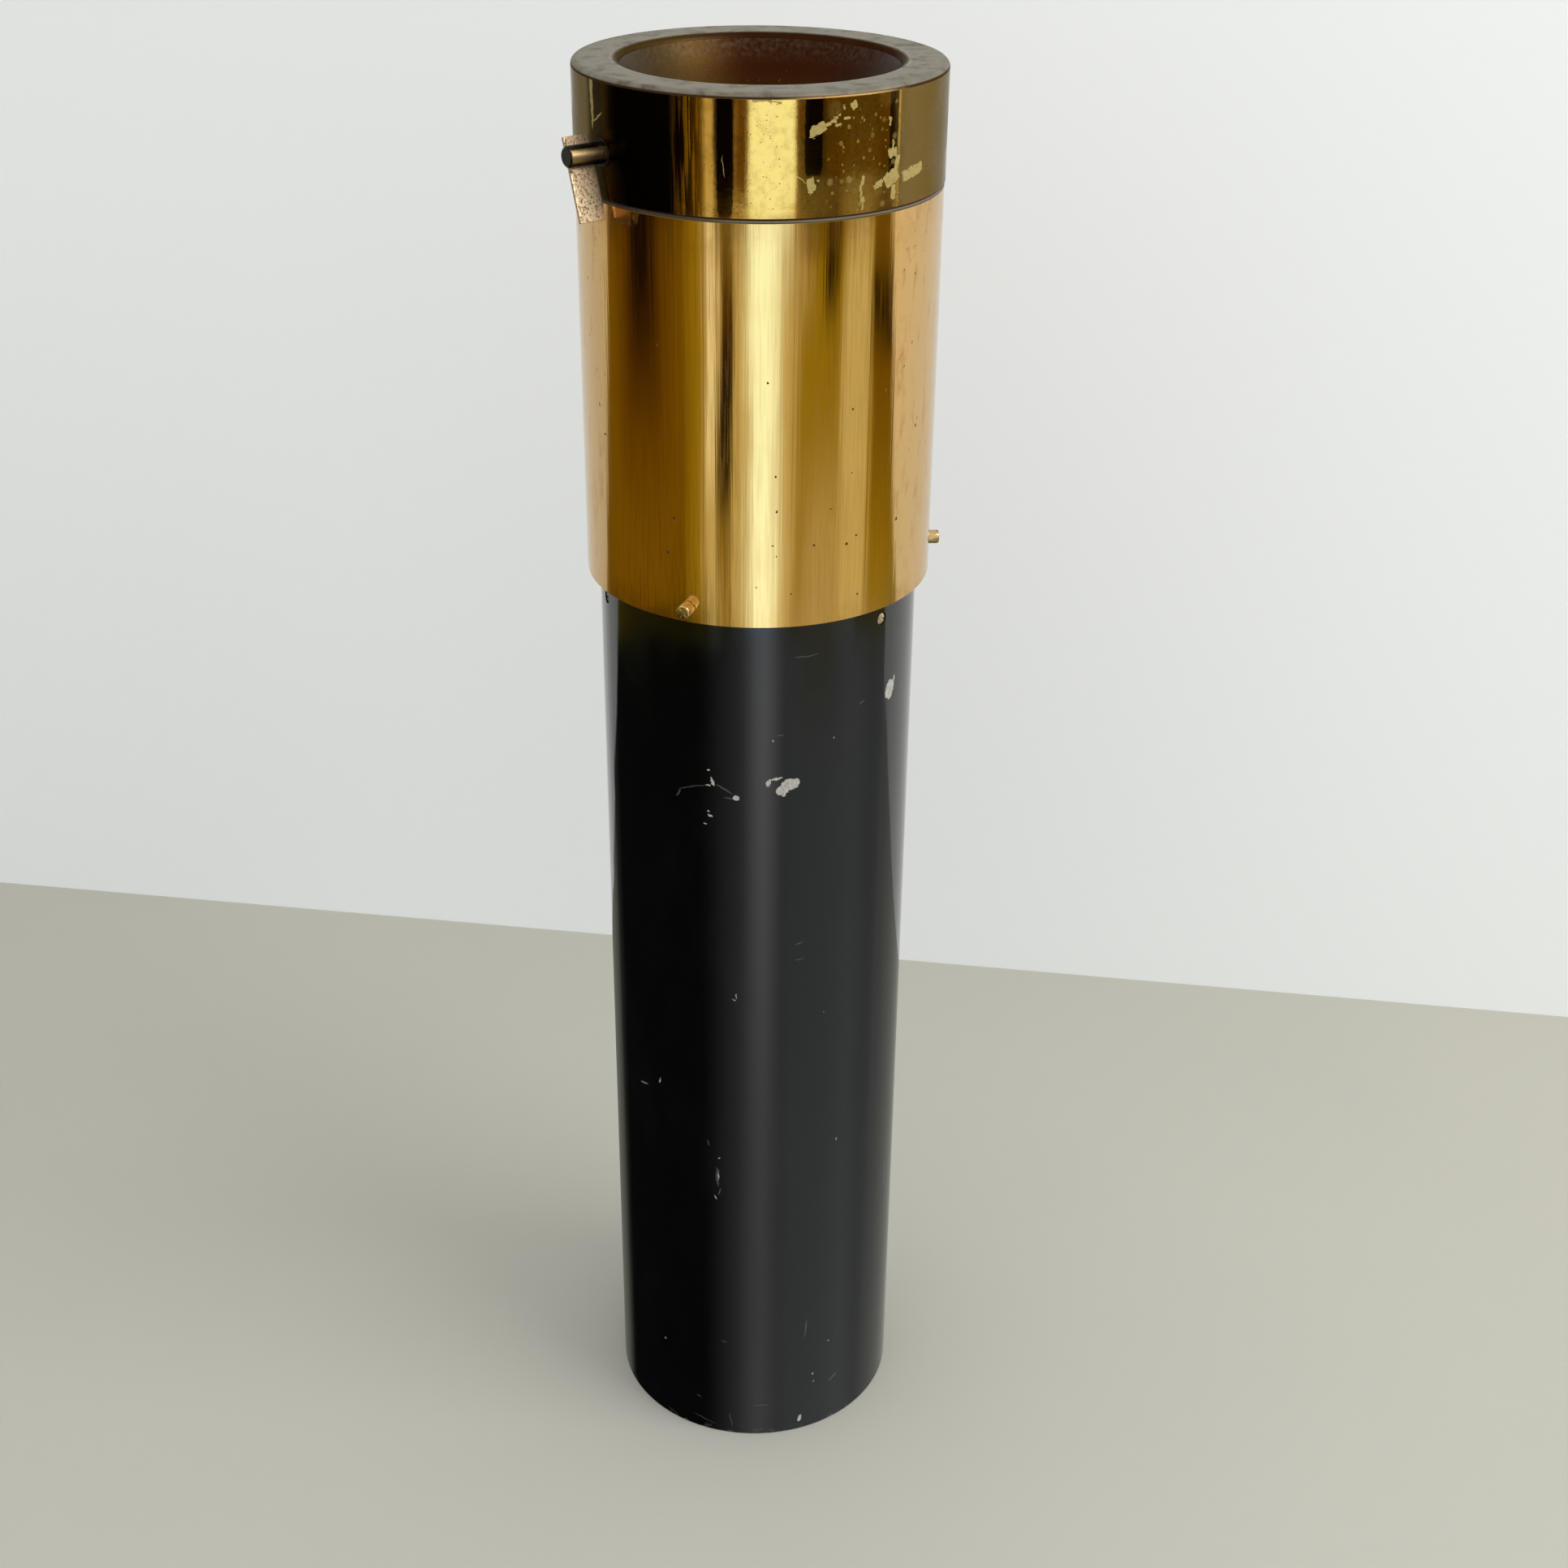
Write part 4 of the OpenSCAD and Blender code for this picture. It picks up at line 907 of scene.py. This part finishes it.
TUBE_HAIRLINES = {
    "left_sweep": (853, 969, 16, 0.5, 20), "left_sweep_low": (836, 976, 1.0, 5, -30),
    "middle_sweep": (893, 973, 9, 1.0, -26), "middle_tail": (899, 984, 5, 0.8, -8),
    "scuff": (995, 808, 12, 0.5, 4), "scuff_right": (1062, 865, 4, 0.7, 15),
    "dash": (985, 1183, 4.2, 0.6, 0), "dash_high": (961, 907, 3, 0.5, 0),
    "mid_curve": (985, 1163, 5, 0.5, 20), "upright_haze": (884, 1450, 1.8, 12, 4),
    "upright_top": (873, 1408, 0.8, 4, 15), "upright_side": (887, 1468, 0.8, 5, -20),
    "foot_mark": (993, 1637, 0.8, 13, -6), "foot_dash": (892, 1653, 3, 0.6, -10),
    "foot_patch": (1027, 1695, 4.5, 1.4, 35), "foot_patch_low": (1023, 1700, 2.4, 1.4, 20),
    "left_dash": (862, 1719, 2.6, 0.8, -15), "foot_curve": (868, 1747, 13, 0.5, -16),
    "foot_line": (901, 1750, 0.5, 10, 10), "foot_level": (938, 1731, 9, 0.4, 0),
    "right_curve": (1089, 1445, 0.7, 18, 0),
}
ENAMEL = (0.0016, 0.0018, 0.0016, 1)
ENAMEL_WORN = (0.0045, 0.0048, 0.0042, 1)
PRIMER = (0.46, 0.44, 0.40, 1)
PRIMER_DARK = (0.30, 0.285, 0.255, 1)

black_enamel, net, place = new_finish("black_enamel")
rolled = net.use(round_sheet, place, tube_r)
sheet = rolled["Sheet"]
tone_patches = net.effect(clouds, net.scaled(place, (1, 1, 0.35)), 22.0, 0.42, 0.72)
streak = net.effect(streaks, place, 1.6, 90.0)
jagged = net.effect(broken, net.effect(ragged, sheet, 2.2, 1.4), 0.9, 0.6)
chips = net.ramp(marks(net, jagged, TUBE_CHIPS, tube_r), 0.35, 0.65)
hairlines = marks(net, net.effect(ragged, sheet, 7.0, 3.0), TUBE_HAIRLINES, tube_r)
dots = net.effect(pits, place, 16.0, 0.10, 0.035)
foot_patches = net.ramp(net.noise(place, 5.0, 4.0), 0.55, 0.68)
foot_wear = net.times(net.ramp(rolled["Level"], 5.0, 0.6), foot_patches)
bare = net.most(chips, net.times(dots, 0.4), net.times(foot_wear, 0.12))
primer_tone = net.mix(net.effect(clouds, place, 1.2, 0.4, 0.7), PRIMER, PRIMER_DARK)
colour = net.layers(
    ENAMEL, (tone_patches, 0.5, ENAMEL_WORN), (hairlines, 0.11, PRIMER), (bare, 1, primer_tone),
)
roughness = net.total(0.04, (tone_patches, 0.05), (streak, 0.04), (bare, 0.4))
relief = net.total(
    net.times(chips, -0.08), (hairlines, -0.02), (streak, 0.004), (net.noise(place, 34.0, 1.0), 0.10),
    (net.noise(place, 0.9, 2.0), 0.0016),
)
close_finish(black_enamel, net, colour, 0.0, roughness, relief)

# %% [markdown]
# ## Small brass
# The lever, axle, knobs, screws and the hidden fittings are plain brass in different states. One function
# makes them all: a clean tone, a tarnish tone in clouds, pits of two sizes, and turned or drawn lines. On
# the axle, the left collar screw and the fittings outside the cap it also paints shade in near black. Only
# the numbers and these masks of painted shade differ from piece to piece.

# %% Small brass finishes
# Near black of the painted shade on small brass
PAINTED_SHADE_BLACK = (0.005, 0.004, 0.0025, 1)
AXLE_END = 98.0
# A level between the collar's screws and the flap's
ABOVE_COLLAR = 540.0


def small_brass(name, clean, tarnish, cover, cloud_size, shine, pit_cell, pit_share, painted_shade):
    """Brass in one state. The last argument, if it is given, turns the place into a mask of painted shade
    in near black.
    """
    material, net, place = new_finish(name)
    cloud = net.effect(clouds, place, cloud_size, 0.62 - cover * 0.4, 0.80 - cover * 0.3)
    grain = net.noise(net.scaled(place, (1, 1, 0.2)), 0.5, 3.0)
    pit = net.most(
        net.effect(pits, net.effect(ragged, place, 0.8, 0.8), pit_cell, pit_share, 0.5),
        net.effect(pits, place, pit_cell * 0.45, pit_share, 0.45),
    )
    # Painted shade, darkening the brass towards near black
    overlay_mask = painted_shade(net, *net.use(round_sheet, place, sleeve_r)[1:]) if painted_shade else 0.0
    colour = net.layers(clean, (cloud, 1, tarnish), (pit, 0.85, PIT_BROWN))
    colour = net.mix(overlay_mask, colour, PAINTED_SHADE_BLACK)
    roughness = net.total(shine, (cloud, 0.16), (grain, 0.08), (pit, 0.2))
    dull = net.most(net.times(cloud, 0.25), net.times(pit, 0.6))
    relief = net.total(net.times(grain, 0.006), (pit, -0.05), (cloud, 0.01))
    close_finish(material, net, colour, net.inverse(dull), roughness, relief)


# Painted shade: the axle's underside, a line along its top where the lever sits, and its end face
def axle_painted_shade(net, azimuth, level, reach):
    below = net.ramp(level, axle_z - 1.4, axle_z - 2.8)
    above = net.ramp(level, axle_z + 3.0, axle_z + 3.5)
    at_end = net.ramp(reach, AXLE_END - 0.4, AXLE_END)
    return net.times(net.most(below, above, at_end), 0.95)


# Painted shade: the left collar screw's head is near black, darkened like a hole in shade
def left_screw_painted_shade(net, azimuth, level, reach):
    on_left = net.ramp(azimuth, -55.0, -62.0)
    return net.times(on_left, net.ramp(level, ABOVE_COLLAR, ABOVE_COLLAR - 20), 0.97)


# Painted shade: the brass fittings that show outside the cap wall, above the seam, are near black
def outside_cap_painted_shade(net, azimuth, level, reach):
    outside = net.ramp(reach, cap_r - 3.0, cap_r - 2.0)
    return net.times(outside, net.ramp(level, seam_z, seam_z + 4.0), 0.97)


# Each state: clean and tarnished tone, share and size of the tarnish, roughness, size and share of
# the pits, and the mask of painted shade
SMALL_BRASS = {
    "lever_brass": ((0.62, 0.46, 0.29, 1), (0.27, 0.18, 0.09, 1), 0.42, 1.2, 0.32, 1.1, 0.36, None),
    "axle_brass": ((0.36, 0.25, 0.115, 1), (0.20, 0.13, 0.05, 1), 0.40, 7.0, 0.22, 2.6, 0.0, axle_painted_shade),
    "knob_brass": ((0.57, 0.41, 0.175, 1), (0.34, 0.20, 0.06, 1), 0.30, 2.4, 0.13, 1.8, 0.12, None),
    "screw_brass": ((0.74, 0.60, 0.42, 1), (0.33, 0.22, 0.12, 1), 0.30, 1.6, 0.24, 1.2, 0.15, left_screw_painted_shade),
    "inner_brass": ((0.66, 0.43, 0.15, 1), (0.27, 0.15, 0.05, 1), 0.50, 4.0, 0.30, 3.0, 0.15, outside_cap_painted_shade),
}
for name, state in SMALL_BRASS.items():
    small_brass(name, *state)

# %% [markdown]
# ## Steel, zinc and iron
# What hangs and stands inside the tube is plain sheet and iron. Zinc-dipped sheet shows large flat
# crystals, cast iron is rough and dark with a bloom of rust, and plated steel is even and grey with rust
# in its pits.

# %% Steel, zinc and iron finishes
ZINC_LIGHT = (0.55, 0.57, 0.58, 1)
ZINC_DARK = (0.33, 0.35, 0.37, 1)
ASH_FILM = (0.20, 0.185, 0.165, 1)
STEEL = (0.44, 0.445, 0.45, 1)
RUST = (0.22, 0.085, 0.03, 1)
IRON = (0.075, 0.072, 0.070, 1)
CRYSTAL = 9.0

pail_sheet, net, place = new_finish("pail_sheet")
uneven = net.effect(ragged, place, CRYSTAL, 3.0)
cells = net.node("ShaderNodeTexVoronoi", uneven, None, 1 / CRYSTAL).outputs
crystal = net.node("ShaderNodeSeparateColor", cells["Color"]).outputs[0]
film = net.effect(clouds, place, 26.0, 0.40, 0.75)
colour = net.layers(net.mix(crystal, ZINC_LIGHT, ZINC_DARK), (film, 0.7, ASH_FILM))
roughness = net.total(0.30, (crystal, 0.14), (film, 0.2))
relief = net.total(net.times(crystal, 0.006), (net.noise(place, 1.2, 3.0), 0.01))
close_finish(pail_sheet, net, colour, net.inverse(net.times(film, 0.4)), roughness, relief)

plain_steel, net, place = new_finish("plain_steel")
rust = net.most(net.effect(clouds, place, 12.0, 0.62, 0.76), net.effect(pits, place, 3.0, 0.2, 0.25))
grain = net.noise(place, 0.7, 3.0)
colour = net.layers(STEEL, (rust, 0.8, RUST))
roughness = net.total(0.30, (grain, 0.14), (rust, 0.35))
relief = net.total(net.times(grain, 0.006), (rust, 0.02))
close_finish(plain_steel, net, colour, net.inverse(net.times(rust, 0.9)), roughness, relief)

ballast_iron, net, place = new_finish("ballast_iron")
sand = net.noise(place, 1.1, 4.0)
rust = net.effect(clouds, place, 18.0, 0.45, 0.75)
colour = net.layers(IRON, (rust, 0.7, RUST))
roughness = net.total(0.58, (sand, 0.2))
relief = net.total(net.times(sand, 0.22), (net.noise(place, 6.0, 2.0), 0.25))
close_finish(ballast_iron, net, colour, 0.4, roughness, relief)

# %% [markdown]
# ## Dress the solids
# Each solid keeps its shape and takes the finish of its slot in the record, so one loop dresses them all.

# %% Give every solid its finish
SLOTS = {subpart["node"]: subpart["material_slot"] for subpart in frame["record"]["subparts"]}
for name, solid in frame["nodes"].items():
    solid.data.materials.clear()
    solid.data.materials.append(FINISHES[SLOTS[name]])
print("dressed", len(frame["nodes"]), "solids in", len(set(SLOTS.values())), "finishes")

# %% [markdown]
# ## Turned pieces
# Screws and thumbscrews are turned on a lathe, and Geometry Nodes can work the same way: half the
# section, drawn as a line of points, is swept round a circle. The sweep measures the section from the
# circle, so the points are shifted in by the circle's radius first, and those that land on the axis are
# merged. The result is turned into a plain mesh and set at its place on the part.

# %% Lathe
PATH_R = 10.0
MERGE_WITHIN = 0.002
SHARP_EDGE = math.radians(28)


def geometry_tree(name, inputs):
    tree = bpy.data.node_groups.new(name, "GeometryNodeTree")
    tree.interface.new_socket("Geometry", in_out="INPUT", socket_type="NodeSocketGeometry")
    for label, kind in inputs.items():
        tree.interface.new_socket(label, in_out="INPUT", socket_type="NodeSocket" + kind)
    tree.interface.new_socket("Geometry", in_out="OUTPUT", socket_type="NodeSocketGeometry")
    net = Net(tree)
    return tree, net, net.node("NodeGroupInput").outputs, net.node("NodeGroupOutput").inputs[0]


def half_section(name, points):
    """A line of points, each a radius and a height, from the top's centre out and down to the axis."""
    mesh = bpy.data.meshes.new(name)
    line = [(radius - PATH_R, -height, 0) for radius, height in points]
    mesh.from_pydata(line, [(i, i + 1) for i in range(len(line) - 1)], [])
    section = bpy.data.objects.new(name, mesh)
    scene.collection.objects.link(section)
    return section


def settle(mesh, place):
    """Sets a mesh made in millimetres at its place on the part, smooth but for its sharp edges."""
    mesh.transform(Matrix.Scale(MM, 4) @ place)
    mesh.shade_smooth()
    mesh.set_sharp_from_angle(angle=SHARP_EDGE)


def stand_in(piece, body, node):
    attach(piece, body)
    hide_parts(node)


def grow(thing, tree, values, place):
    """Runs a tree on an object and keeps the result as its plain mesh, at its place on the part."""
    modifier = thing.modifiers.new(tree.name, "NODES")
    modifier.node_group = tree
    for item in tree.interface.items_tree:
        if item.in_out == "INPUT" and item.name in values:
            modifier[item.identifier] = values[item.name]
    graph = bpy.context.evaluated_depsgraph_get()
    graph.update()
    mesh = bpy.data.meshes.new_from_object(thing.evaluated_get(graph))
    thing.modifiers.remove(modifier)
    for index in reversed(range(len(mesh.materials))):
        if mesh.materials[index] is None:
            mesh.materials.pop(index=index)
    settle(mesh, place)
    thing.data = mesh
    print(thing.name, len(mesh.polygons), "faces")


def sawn_slot(net, mesh, size, centre, turn=None):
    """A mesh with a box sawn out of it."""
    saw = net.node("GeometryNodeTransform", net.node("GeometryNodeMeshCube", size).outputs[0])
    net.feed(saw.inputs["Translation"], centre)
    net.feed(saw.inputs["Rotation"], turn)
    sawn = net.node("GeometryNodeMeshBoolean", operation="DIFFERENCE", solver="EXACT")
    net.feed(sawn.inputs["Mesh 1"], mesh)
    net.feed(sawn.inputs["Mesh 2"], saw.outputs[0])
    return sawn.outputs[0]


def whole_piece(net, mesh, material):
    """Instances made real, in one material."""
    whole = net.node("GeometryNodeRealizeInstances", mesh).outputs[0]
    return net.node("GeometryNodeSetMaterial", whole, None, material).outputs[0]


lathe, net, given, result = geometry_tree("lathe", {"Segments": "Int"})
section = net.node("GeometryNodeMeshToCurve", given["Geometry"]).outputs[0]
circle = net.node("GeometryNodeCurvePrimitiveCircle", given["Segments"])
circle.inputs["Radius"].default_value = PATH_R
swept = net.node("GeometryNodeCurveToMesh", circle.outputs[0], section).outputs[0]
merge = net.node("GeometryNodeMergeByDistance", swept)
merge.inputs["Distance"].default_value = MERGE_WITHIN
net.feed(result, merge.outputs[0])

# %% [markdown]
# ## Thumbscrews
# A thumbscrew is a plain brass knob on a threaded stud, with a slot across its end for a coin or a
# screwdriver. The knob's rims are rounded, and the thread is a fine triangle wave that climbs once per
# turn: it gives a largest radius for every point of the stud, and points beyond it are pulled in. The
# slot is sawn with a Boolean.

# %% Thumbscrews
KNOB_R = 3.25
KNOB_LENGTH = 6.2
KNOB_ROUND = 0.7
KNOB_SLOT = (16, 1.1, 1.8)
STUD_R = 1.5
STUD_ROOT = 0.25
THREAD_PITCH = 0.5
THREAD_STEPS = 5
THREAD_INSET = 1.0
THREAD_RUNOUT = 0.2
THUMBSCREW_SEGMENTS = 96
# Azimuth and turn of the slot, in degrees
THUMBSCREWS = {"thumbscrew_1": (-22.5, 40), "thumbscrew_2": (98, 15), "thumbscrew_3": (218, 70)}

thumbscrew_tree, net, given, result = geometry_tree("thumbscrew", {
    "Segments": "Int", "Stud Radius": "Float", "Pitch": "Float", "Thread Depth": "Float",
    "Thread End": "Float", "Slot Size": "Vector", "Slot Centre": "Vector", "Slot Turn": "Vector",
    "Material": "Material",
})
turned = net.node("GeometryNodeGroup", given["Geometry"], given["Segments"], node_tree=lathe).outputs[0]
axes = net.split(net.node("GeometryNodeInputPosition").outputs[0])
squares = [net.times(axes[name], axes[name]) for name in "XY"]
reach = net.math("SQRT", net.plus(*squares))
turns = net.math("DIVIDE", net.math("ARCTAN2", axes["Y"], axes["X"]), math.tau)
phase = net.math("FRACT", net.plus(net.math("DIVIDE", axes["Z"], given["Pitch"]), turns))
thread = net.times(net.math("ABSOLUTE", net.math("SUBTRACT", phase, 0.5)), 2.0)
unthreaded = net.math("GREATER_THAN", axes["Z"], given["Thread End"])
thread_limit = net.math("SUBTRACT", given["Stud Radius"], net.times(thread, given["Thread Depth"]))
limit = net.plus(thread_limit, net.times(unthreaded, PATH_R))
shrink = net.math("DIVIDE", net.math("MINIMUM", reach, limit), net.most(reach, MERGE_WITHIN))
pulled = net.joined(net.times(axes["X"], shrink), net.times(axes["Y"], shrink), axes["Z"])
threaded = net.node("GeometryNodeSetPosition", turned, None, pulled).outputs[0]
sawn = sawn_slot(net, threaded, given["Slot Size"], given["Slot Centre"], given["Slot Turn"])
net.feed(result, whole_piece(net, sawn, given["Material"]))


def rounded(middle_r, middle_h, radius, start, end, steps=6):
    """Points on an arc of a half section, from one angle to another."""
    angles = [math.radians(start + (end - start) * i / steps) for i in range(steps + 1)]
    return [(middle_r + radius * math.cos(angle), middle_h + radius * math.sin(angle)) for angle in angles]


for node, (azimuth, slot_turn) in THUMBSCREWS.items():
    low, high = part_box(node)
    frame_out = outwards(azimuth, (low.z + high.z) / 2 / MM)
    out = frame_out.to_3x3() @ Vector((0, 0, 1))
    spans = [out.dot(vertex.co) / MM for vertex in frame["nodes"][node].data.vertices]
    tip, end = min(spans), max(spans)
    neck_end = end - KNOB_LENGTH
    thread_end = sleeve_r - THREAD_INSET
    step = THREAD_PITCH / THREAD_STEPS
    stud = [(STUD_R, thread_end - step * i) for i in range(int((thread_end - tip - STUD_ROOT) / step))]
    section = half_section(f"{node}_turned", [
        (0, end), *rounded(KNOB_R - KNOB_ROUND, end - KNOB_ROUND, KNOB_ROUND, 90, 0),
        *rounded(KNOB_R - KNOB_ROUND / 2, neck_end + KNOB_ROUND / 2, KNOB_ROUND / 2, 0, -90),
        (STUD_R, neck_end), (STUD_R, thread_end + THREAD_RUNOUT), *stud,
        (STUD_R, tip + STUD_ROOT), (STUD_R - STUD_ROOT, tip), (0, tip),
    ])
    grow(section, thumbscrew_tree, {
        "Segments": THUMBSCREW_SEGMENTS, "Stud Radius": STUD_R, "Pitch": THREAD_PITCH,
        "Thread Depth": STUD_ROOT, "Thread End": thread_end, "Slot Size": KNOB_SLOT,
        "Slot Centre": (0, 0, end), "Slot Turn": (0, 0, math.radians(slot_turn)),
        "Material": FINISHES["knob_brass"],
    }, frame_out)
    stand_in(section, node, node)

# %% [markdown]
# ## Slotted screws
# Three screws hold the pail's collar in the tube and four hold the flap together. All are the same
# cheese-head screw: a slightly domed head with a softened edge, a sawn slot and a plain shank. One tree
# turns the screw, saws its slot, and puts a copy on every point it is given, turned by the angles that
# the point carries.

# %% Slotted screws
SCREW_HEAD_R = 2.8
SCREW_HEAD_H = 1.3
SCREW_R = 1.45
SLOT_WIDTH = 0.9
SLOT_DEPTH = 0.6
SCREW_SEGMENTS = 64
# The head's dome: radius and drop below its middle
SCREW_DOME = ((1.2, 0.02), (2.1, 0.08), (2.55, 0.18), (2.74, 0.34), (SCREW_HEAD_R, 0.6))
HEAD_CHAMFER = 0.12
TIP_CHAMFER = 0.3

screw_tree, net, given, result = geometry_tree("slotted_screws", {
    "Section": "Object", "Segments": "Int", "Slot Size": "Vector", "Slot Centre": "Vector",
    "Material": "Material",
})
section = net.node("GeometryNodeObjectInfo", given["Section"]).outputs["Geometry"]
turned = net.node("GeometryNodeGroup", section, given["Segments"], node_tree=lathe).outputs[0]
sawn = sawn_slot(net, turned, given["Slot Size"], given["Slot Centre"])
angles = net.node("GeometryNodeInputNamedAttribute", "facing", data_type="FLOAT_VECTOR").outputs[0]
copies = net.node("GeometryNodeInstanceOnPoints", given["Geometry"])
net.feed(copies.inputs["Instance"], sawn)
net.feed(copies.inputs["Rotation"], net.node("FunctionNodeEulerToRotation", angles).outputs[0])
net.feed(result, whole_piece(net, copies.outputs[0], given["Material"]))


def slotted_screws(name, seats, shank, body, node):
    """Screws at seats, each the frame of its bearing face with the slot along +X."""
    section = half_section(name + "_section", [
        (0, SCREW_HEAD_H), *((radius, SCREW_HEAD_H - drop) for radius, drop in SCREW_DOME),
        (SCREW_HEAD_R, HEAD_CHAMFER), (SCREW_HEAD_R - HEAD_CHAMFER, 0), (SCREW_R, 0),
        (SCREW_R, TIP_CHAMFER - shank), (SCREW_R - TIP_CHAMFER, -shank), (0, -shank),
    ])
    mesh = bpy.data.meshes.new(name)
    mesh.from_pydata([seat.to_translation() for seat in seats], [], [])
    facing = mesh.attributes.new("facing", "FLOAT_VECTOR", "POINT")
    for entry, seat in zip(facing.data, seats):
        entry.vector = seat.to_euler()
    screws = bpy.data.objects.new(name, mesh)
    scene.collection.objects.link(screws)
    grow(screws, screw_tree, {
        "Section": section, "Segments": SCREW_SEGMENTS,
        "Slot Size": (4 * SCREW_HEAD_R, SLOT_WIDTH, 2 * SLOT_DEPTH), "Slot Centre": (0, 0, SCREW_HEAD_H),
        "Material": FINISHES["screw_brass"],
    }, Matrix.Identity(4))
    bpy.data.objects.remove(section)
    stand_in(screws, body, node)


def turned_by(degrees):
    return Matrix.Rotation(math.radians(degrees), 4, "Z")


COLLAR_R = 73.35
COLLAR_SHANK = 2.0
# Azimuth and turn of the slot, in degrees
COLLAR_SCREWS = {"right": (49.5, 82), "back": (169.5, 35), "left": (289.5, 110)}
screw_low, screw_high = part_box("collar_screws")
collar_level = (screw_low.z + screw_high.z) / 2 / MM
collar_seats = [
    outwards(azimuth, collar_level) @ Matrix.Translation((0, 0, COLLAR_R)) @ turned_by(turn)
    for azimuth, turn in COLLAR_SCREWS.values()
]
slotted_screws("collar_screws_slotted", collar_seats, COLLAR_SHANK, "base", "collar_screws")

# Places along the axle and across it
FLAP_SCREWS = ((22, 0), (-22, 0), (10, 14), (-10, 14))
FLAP_SLOT_TURN = 25
flap_low, flap_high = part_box("flap_screws")
flap_face = flap_high.z / MM - SCREW_HEAD_H
along_axle = turned_by(AXLE_AZIMUTH - 90)
flap_seats = [
    along_axle @ Matrix.Translation((along, across, flap_face)) @ turned_by(FLAP_SLOT_TURN)
    for along, across in FLAP_SCREWS
]
slotted_screws("flap_screws_slotted", flap_seats, flap_face - flap_low.z / MM, "flap", "flap_screws")

# %% [markdown]
# ## Lever
# The lever is a strip cut from sheet brass and soldered across the axle. Its corners are rounded with a
# file and its faces are no longer quite flat, so the strip is cut into a fine grid and every point is
# pulled in a little by smooth noise.

# %% Lever strip
LEVER_LEAN = 19.4
LEVER_ALONG = (82.7, 95.4)
LEVER_UP = 8.6
LEVER_DOWN = 26.8
LEVER_THICK = 1.5
LEVER_SEAT = 0.5
LEVER_CORNER = 0.35
LEVER_EDGE = 0.15
CORNER_STEPS = 5
EDGE_STEPS = 3
SQUARE_EDGE = math.radians(60)
# Axis and number of parts it is cut into
LEVER_CUTS = ((0, 34), (2, 12))
DENT = 0.05
DENT_SIZE = 7
FINE_DENT = 0.4
FINE_DENT_SIZE = 2

lever_frame = outwards(AXLE_AZIMUTH, axle_z) @ turned_by(LEVER_LEAN)
lever_face = LEVER_SEAT - axle_r

strip = bmesh.new()
bmesh.ops.create_cube(strip, size=1)
strip_size = Vector((LEVER_UP + LEVER_DOWN, LEVER_THICK, LEVER_ALONG[1] - LEVER_ALONG[0]))
strip_middle = Vector(((LEVER_DOWN - LEVER_UP) / 2, lever_face - LEVER_THICK / 2, sum(LEVER_ALONG) / 2))
bmesh.ops.scale(strip, vec=strip_size, verts=strip.verts)
corners = [edge for edge in strip.edges if abs((edge.verts[0].co - edge.verts[1].co).y) > LEVER_THICK / 2]
rounding = {"profile": 0.5, "affect": "EDGES"}
bmesh.ops.bevel(strip, geom=corners, offset=LEVER_CORNER, segments=CORNER_STEPS, **rounding)
rims = [edge for edge in strip.edges if edge.calc_face_angle(0) > SQUARE_EDGE]
bmesh.ops.bevel(strip, geom=rims, offset=LEVER_EDGE, segments=EDGE_STEPS, **rounding)
for axis, cuts in LEVER_CUTS:
    for i in range(1, cuts):
        normal = Vector((0, 0, 0))
        normal[axis] = 1
        height = Vector((0, 0, 0))
        height[axis] = strip_size[axis] * (i / cuts - 0.5)
        parts = list(strip.verts) + list(strip.edges) + list(strip.faces)
        bmesh.ops.bisect_plane(strip, geom=parts, plane_co=height, plane_no=normal)
strip.normal_update()
for vertex in strip.verts:
    dent = noise.noise(vertex.co / DENT_SIZE) + FINE_DENT * noise.noise(vertex.co / FINE_DENT_SIZE) + 1
    vertex.co -= vertex.normal * dent * DENT
bmesh.ops.translate(strip, vec=strip_middle, verts=strip.verts)
mesh = bpy.data.meshes.new("lever_strip")
strip.to_mesh(mesh)
strip.free()
mesh.materials.append(FINISHES["lever_brass"])
settle(mesh, lever_frame)
lever = bpy.data.objects.new("lever_strip", mesh)
scene.collection.objects.link(lever)
stand_in(lever, "flap", "lever_plate")
print("lever_strip", len(mesh.polygons), "faces")
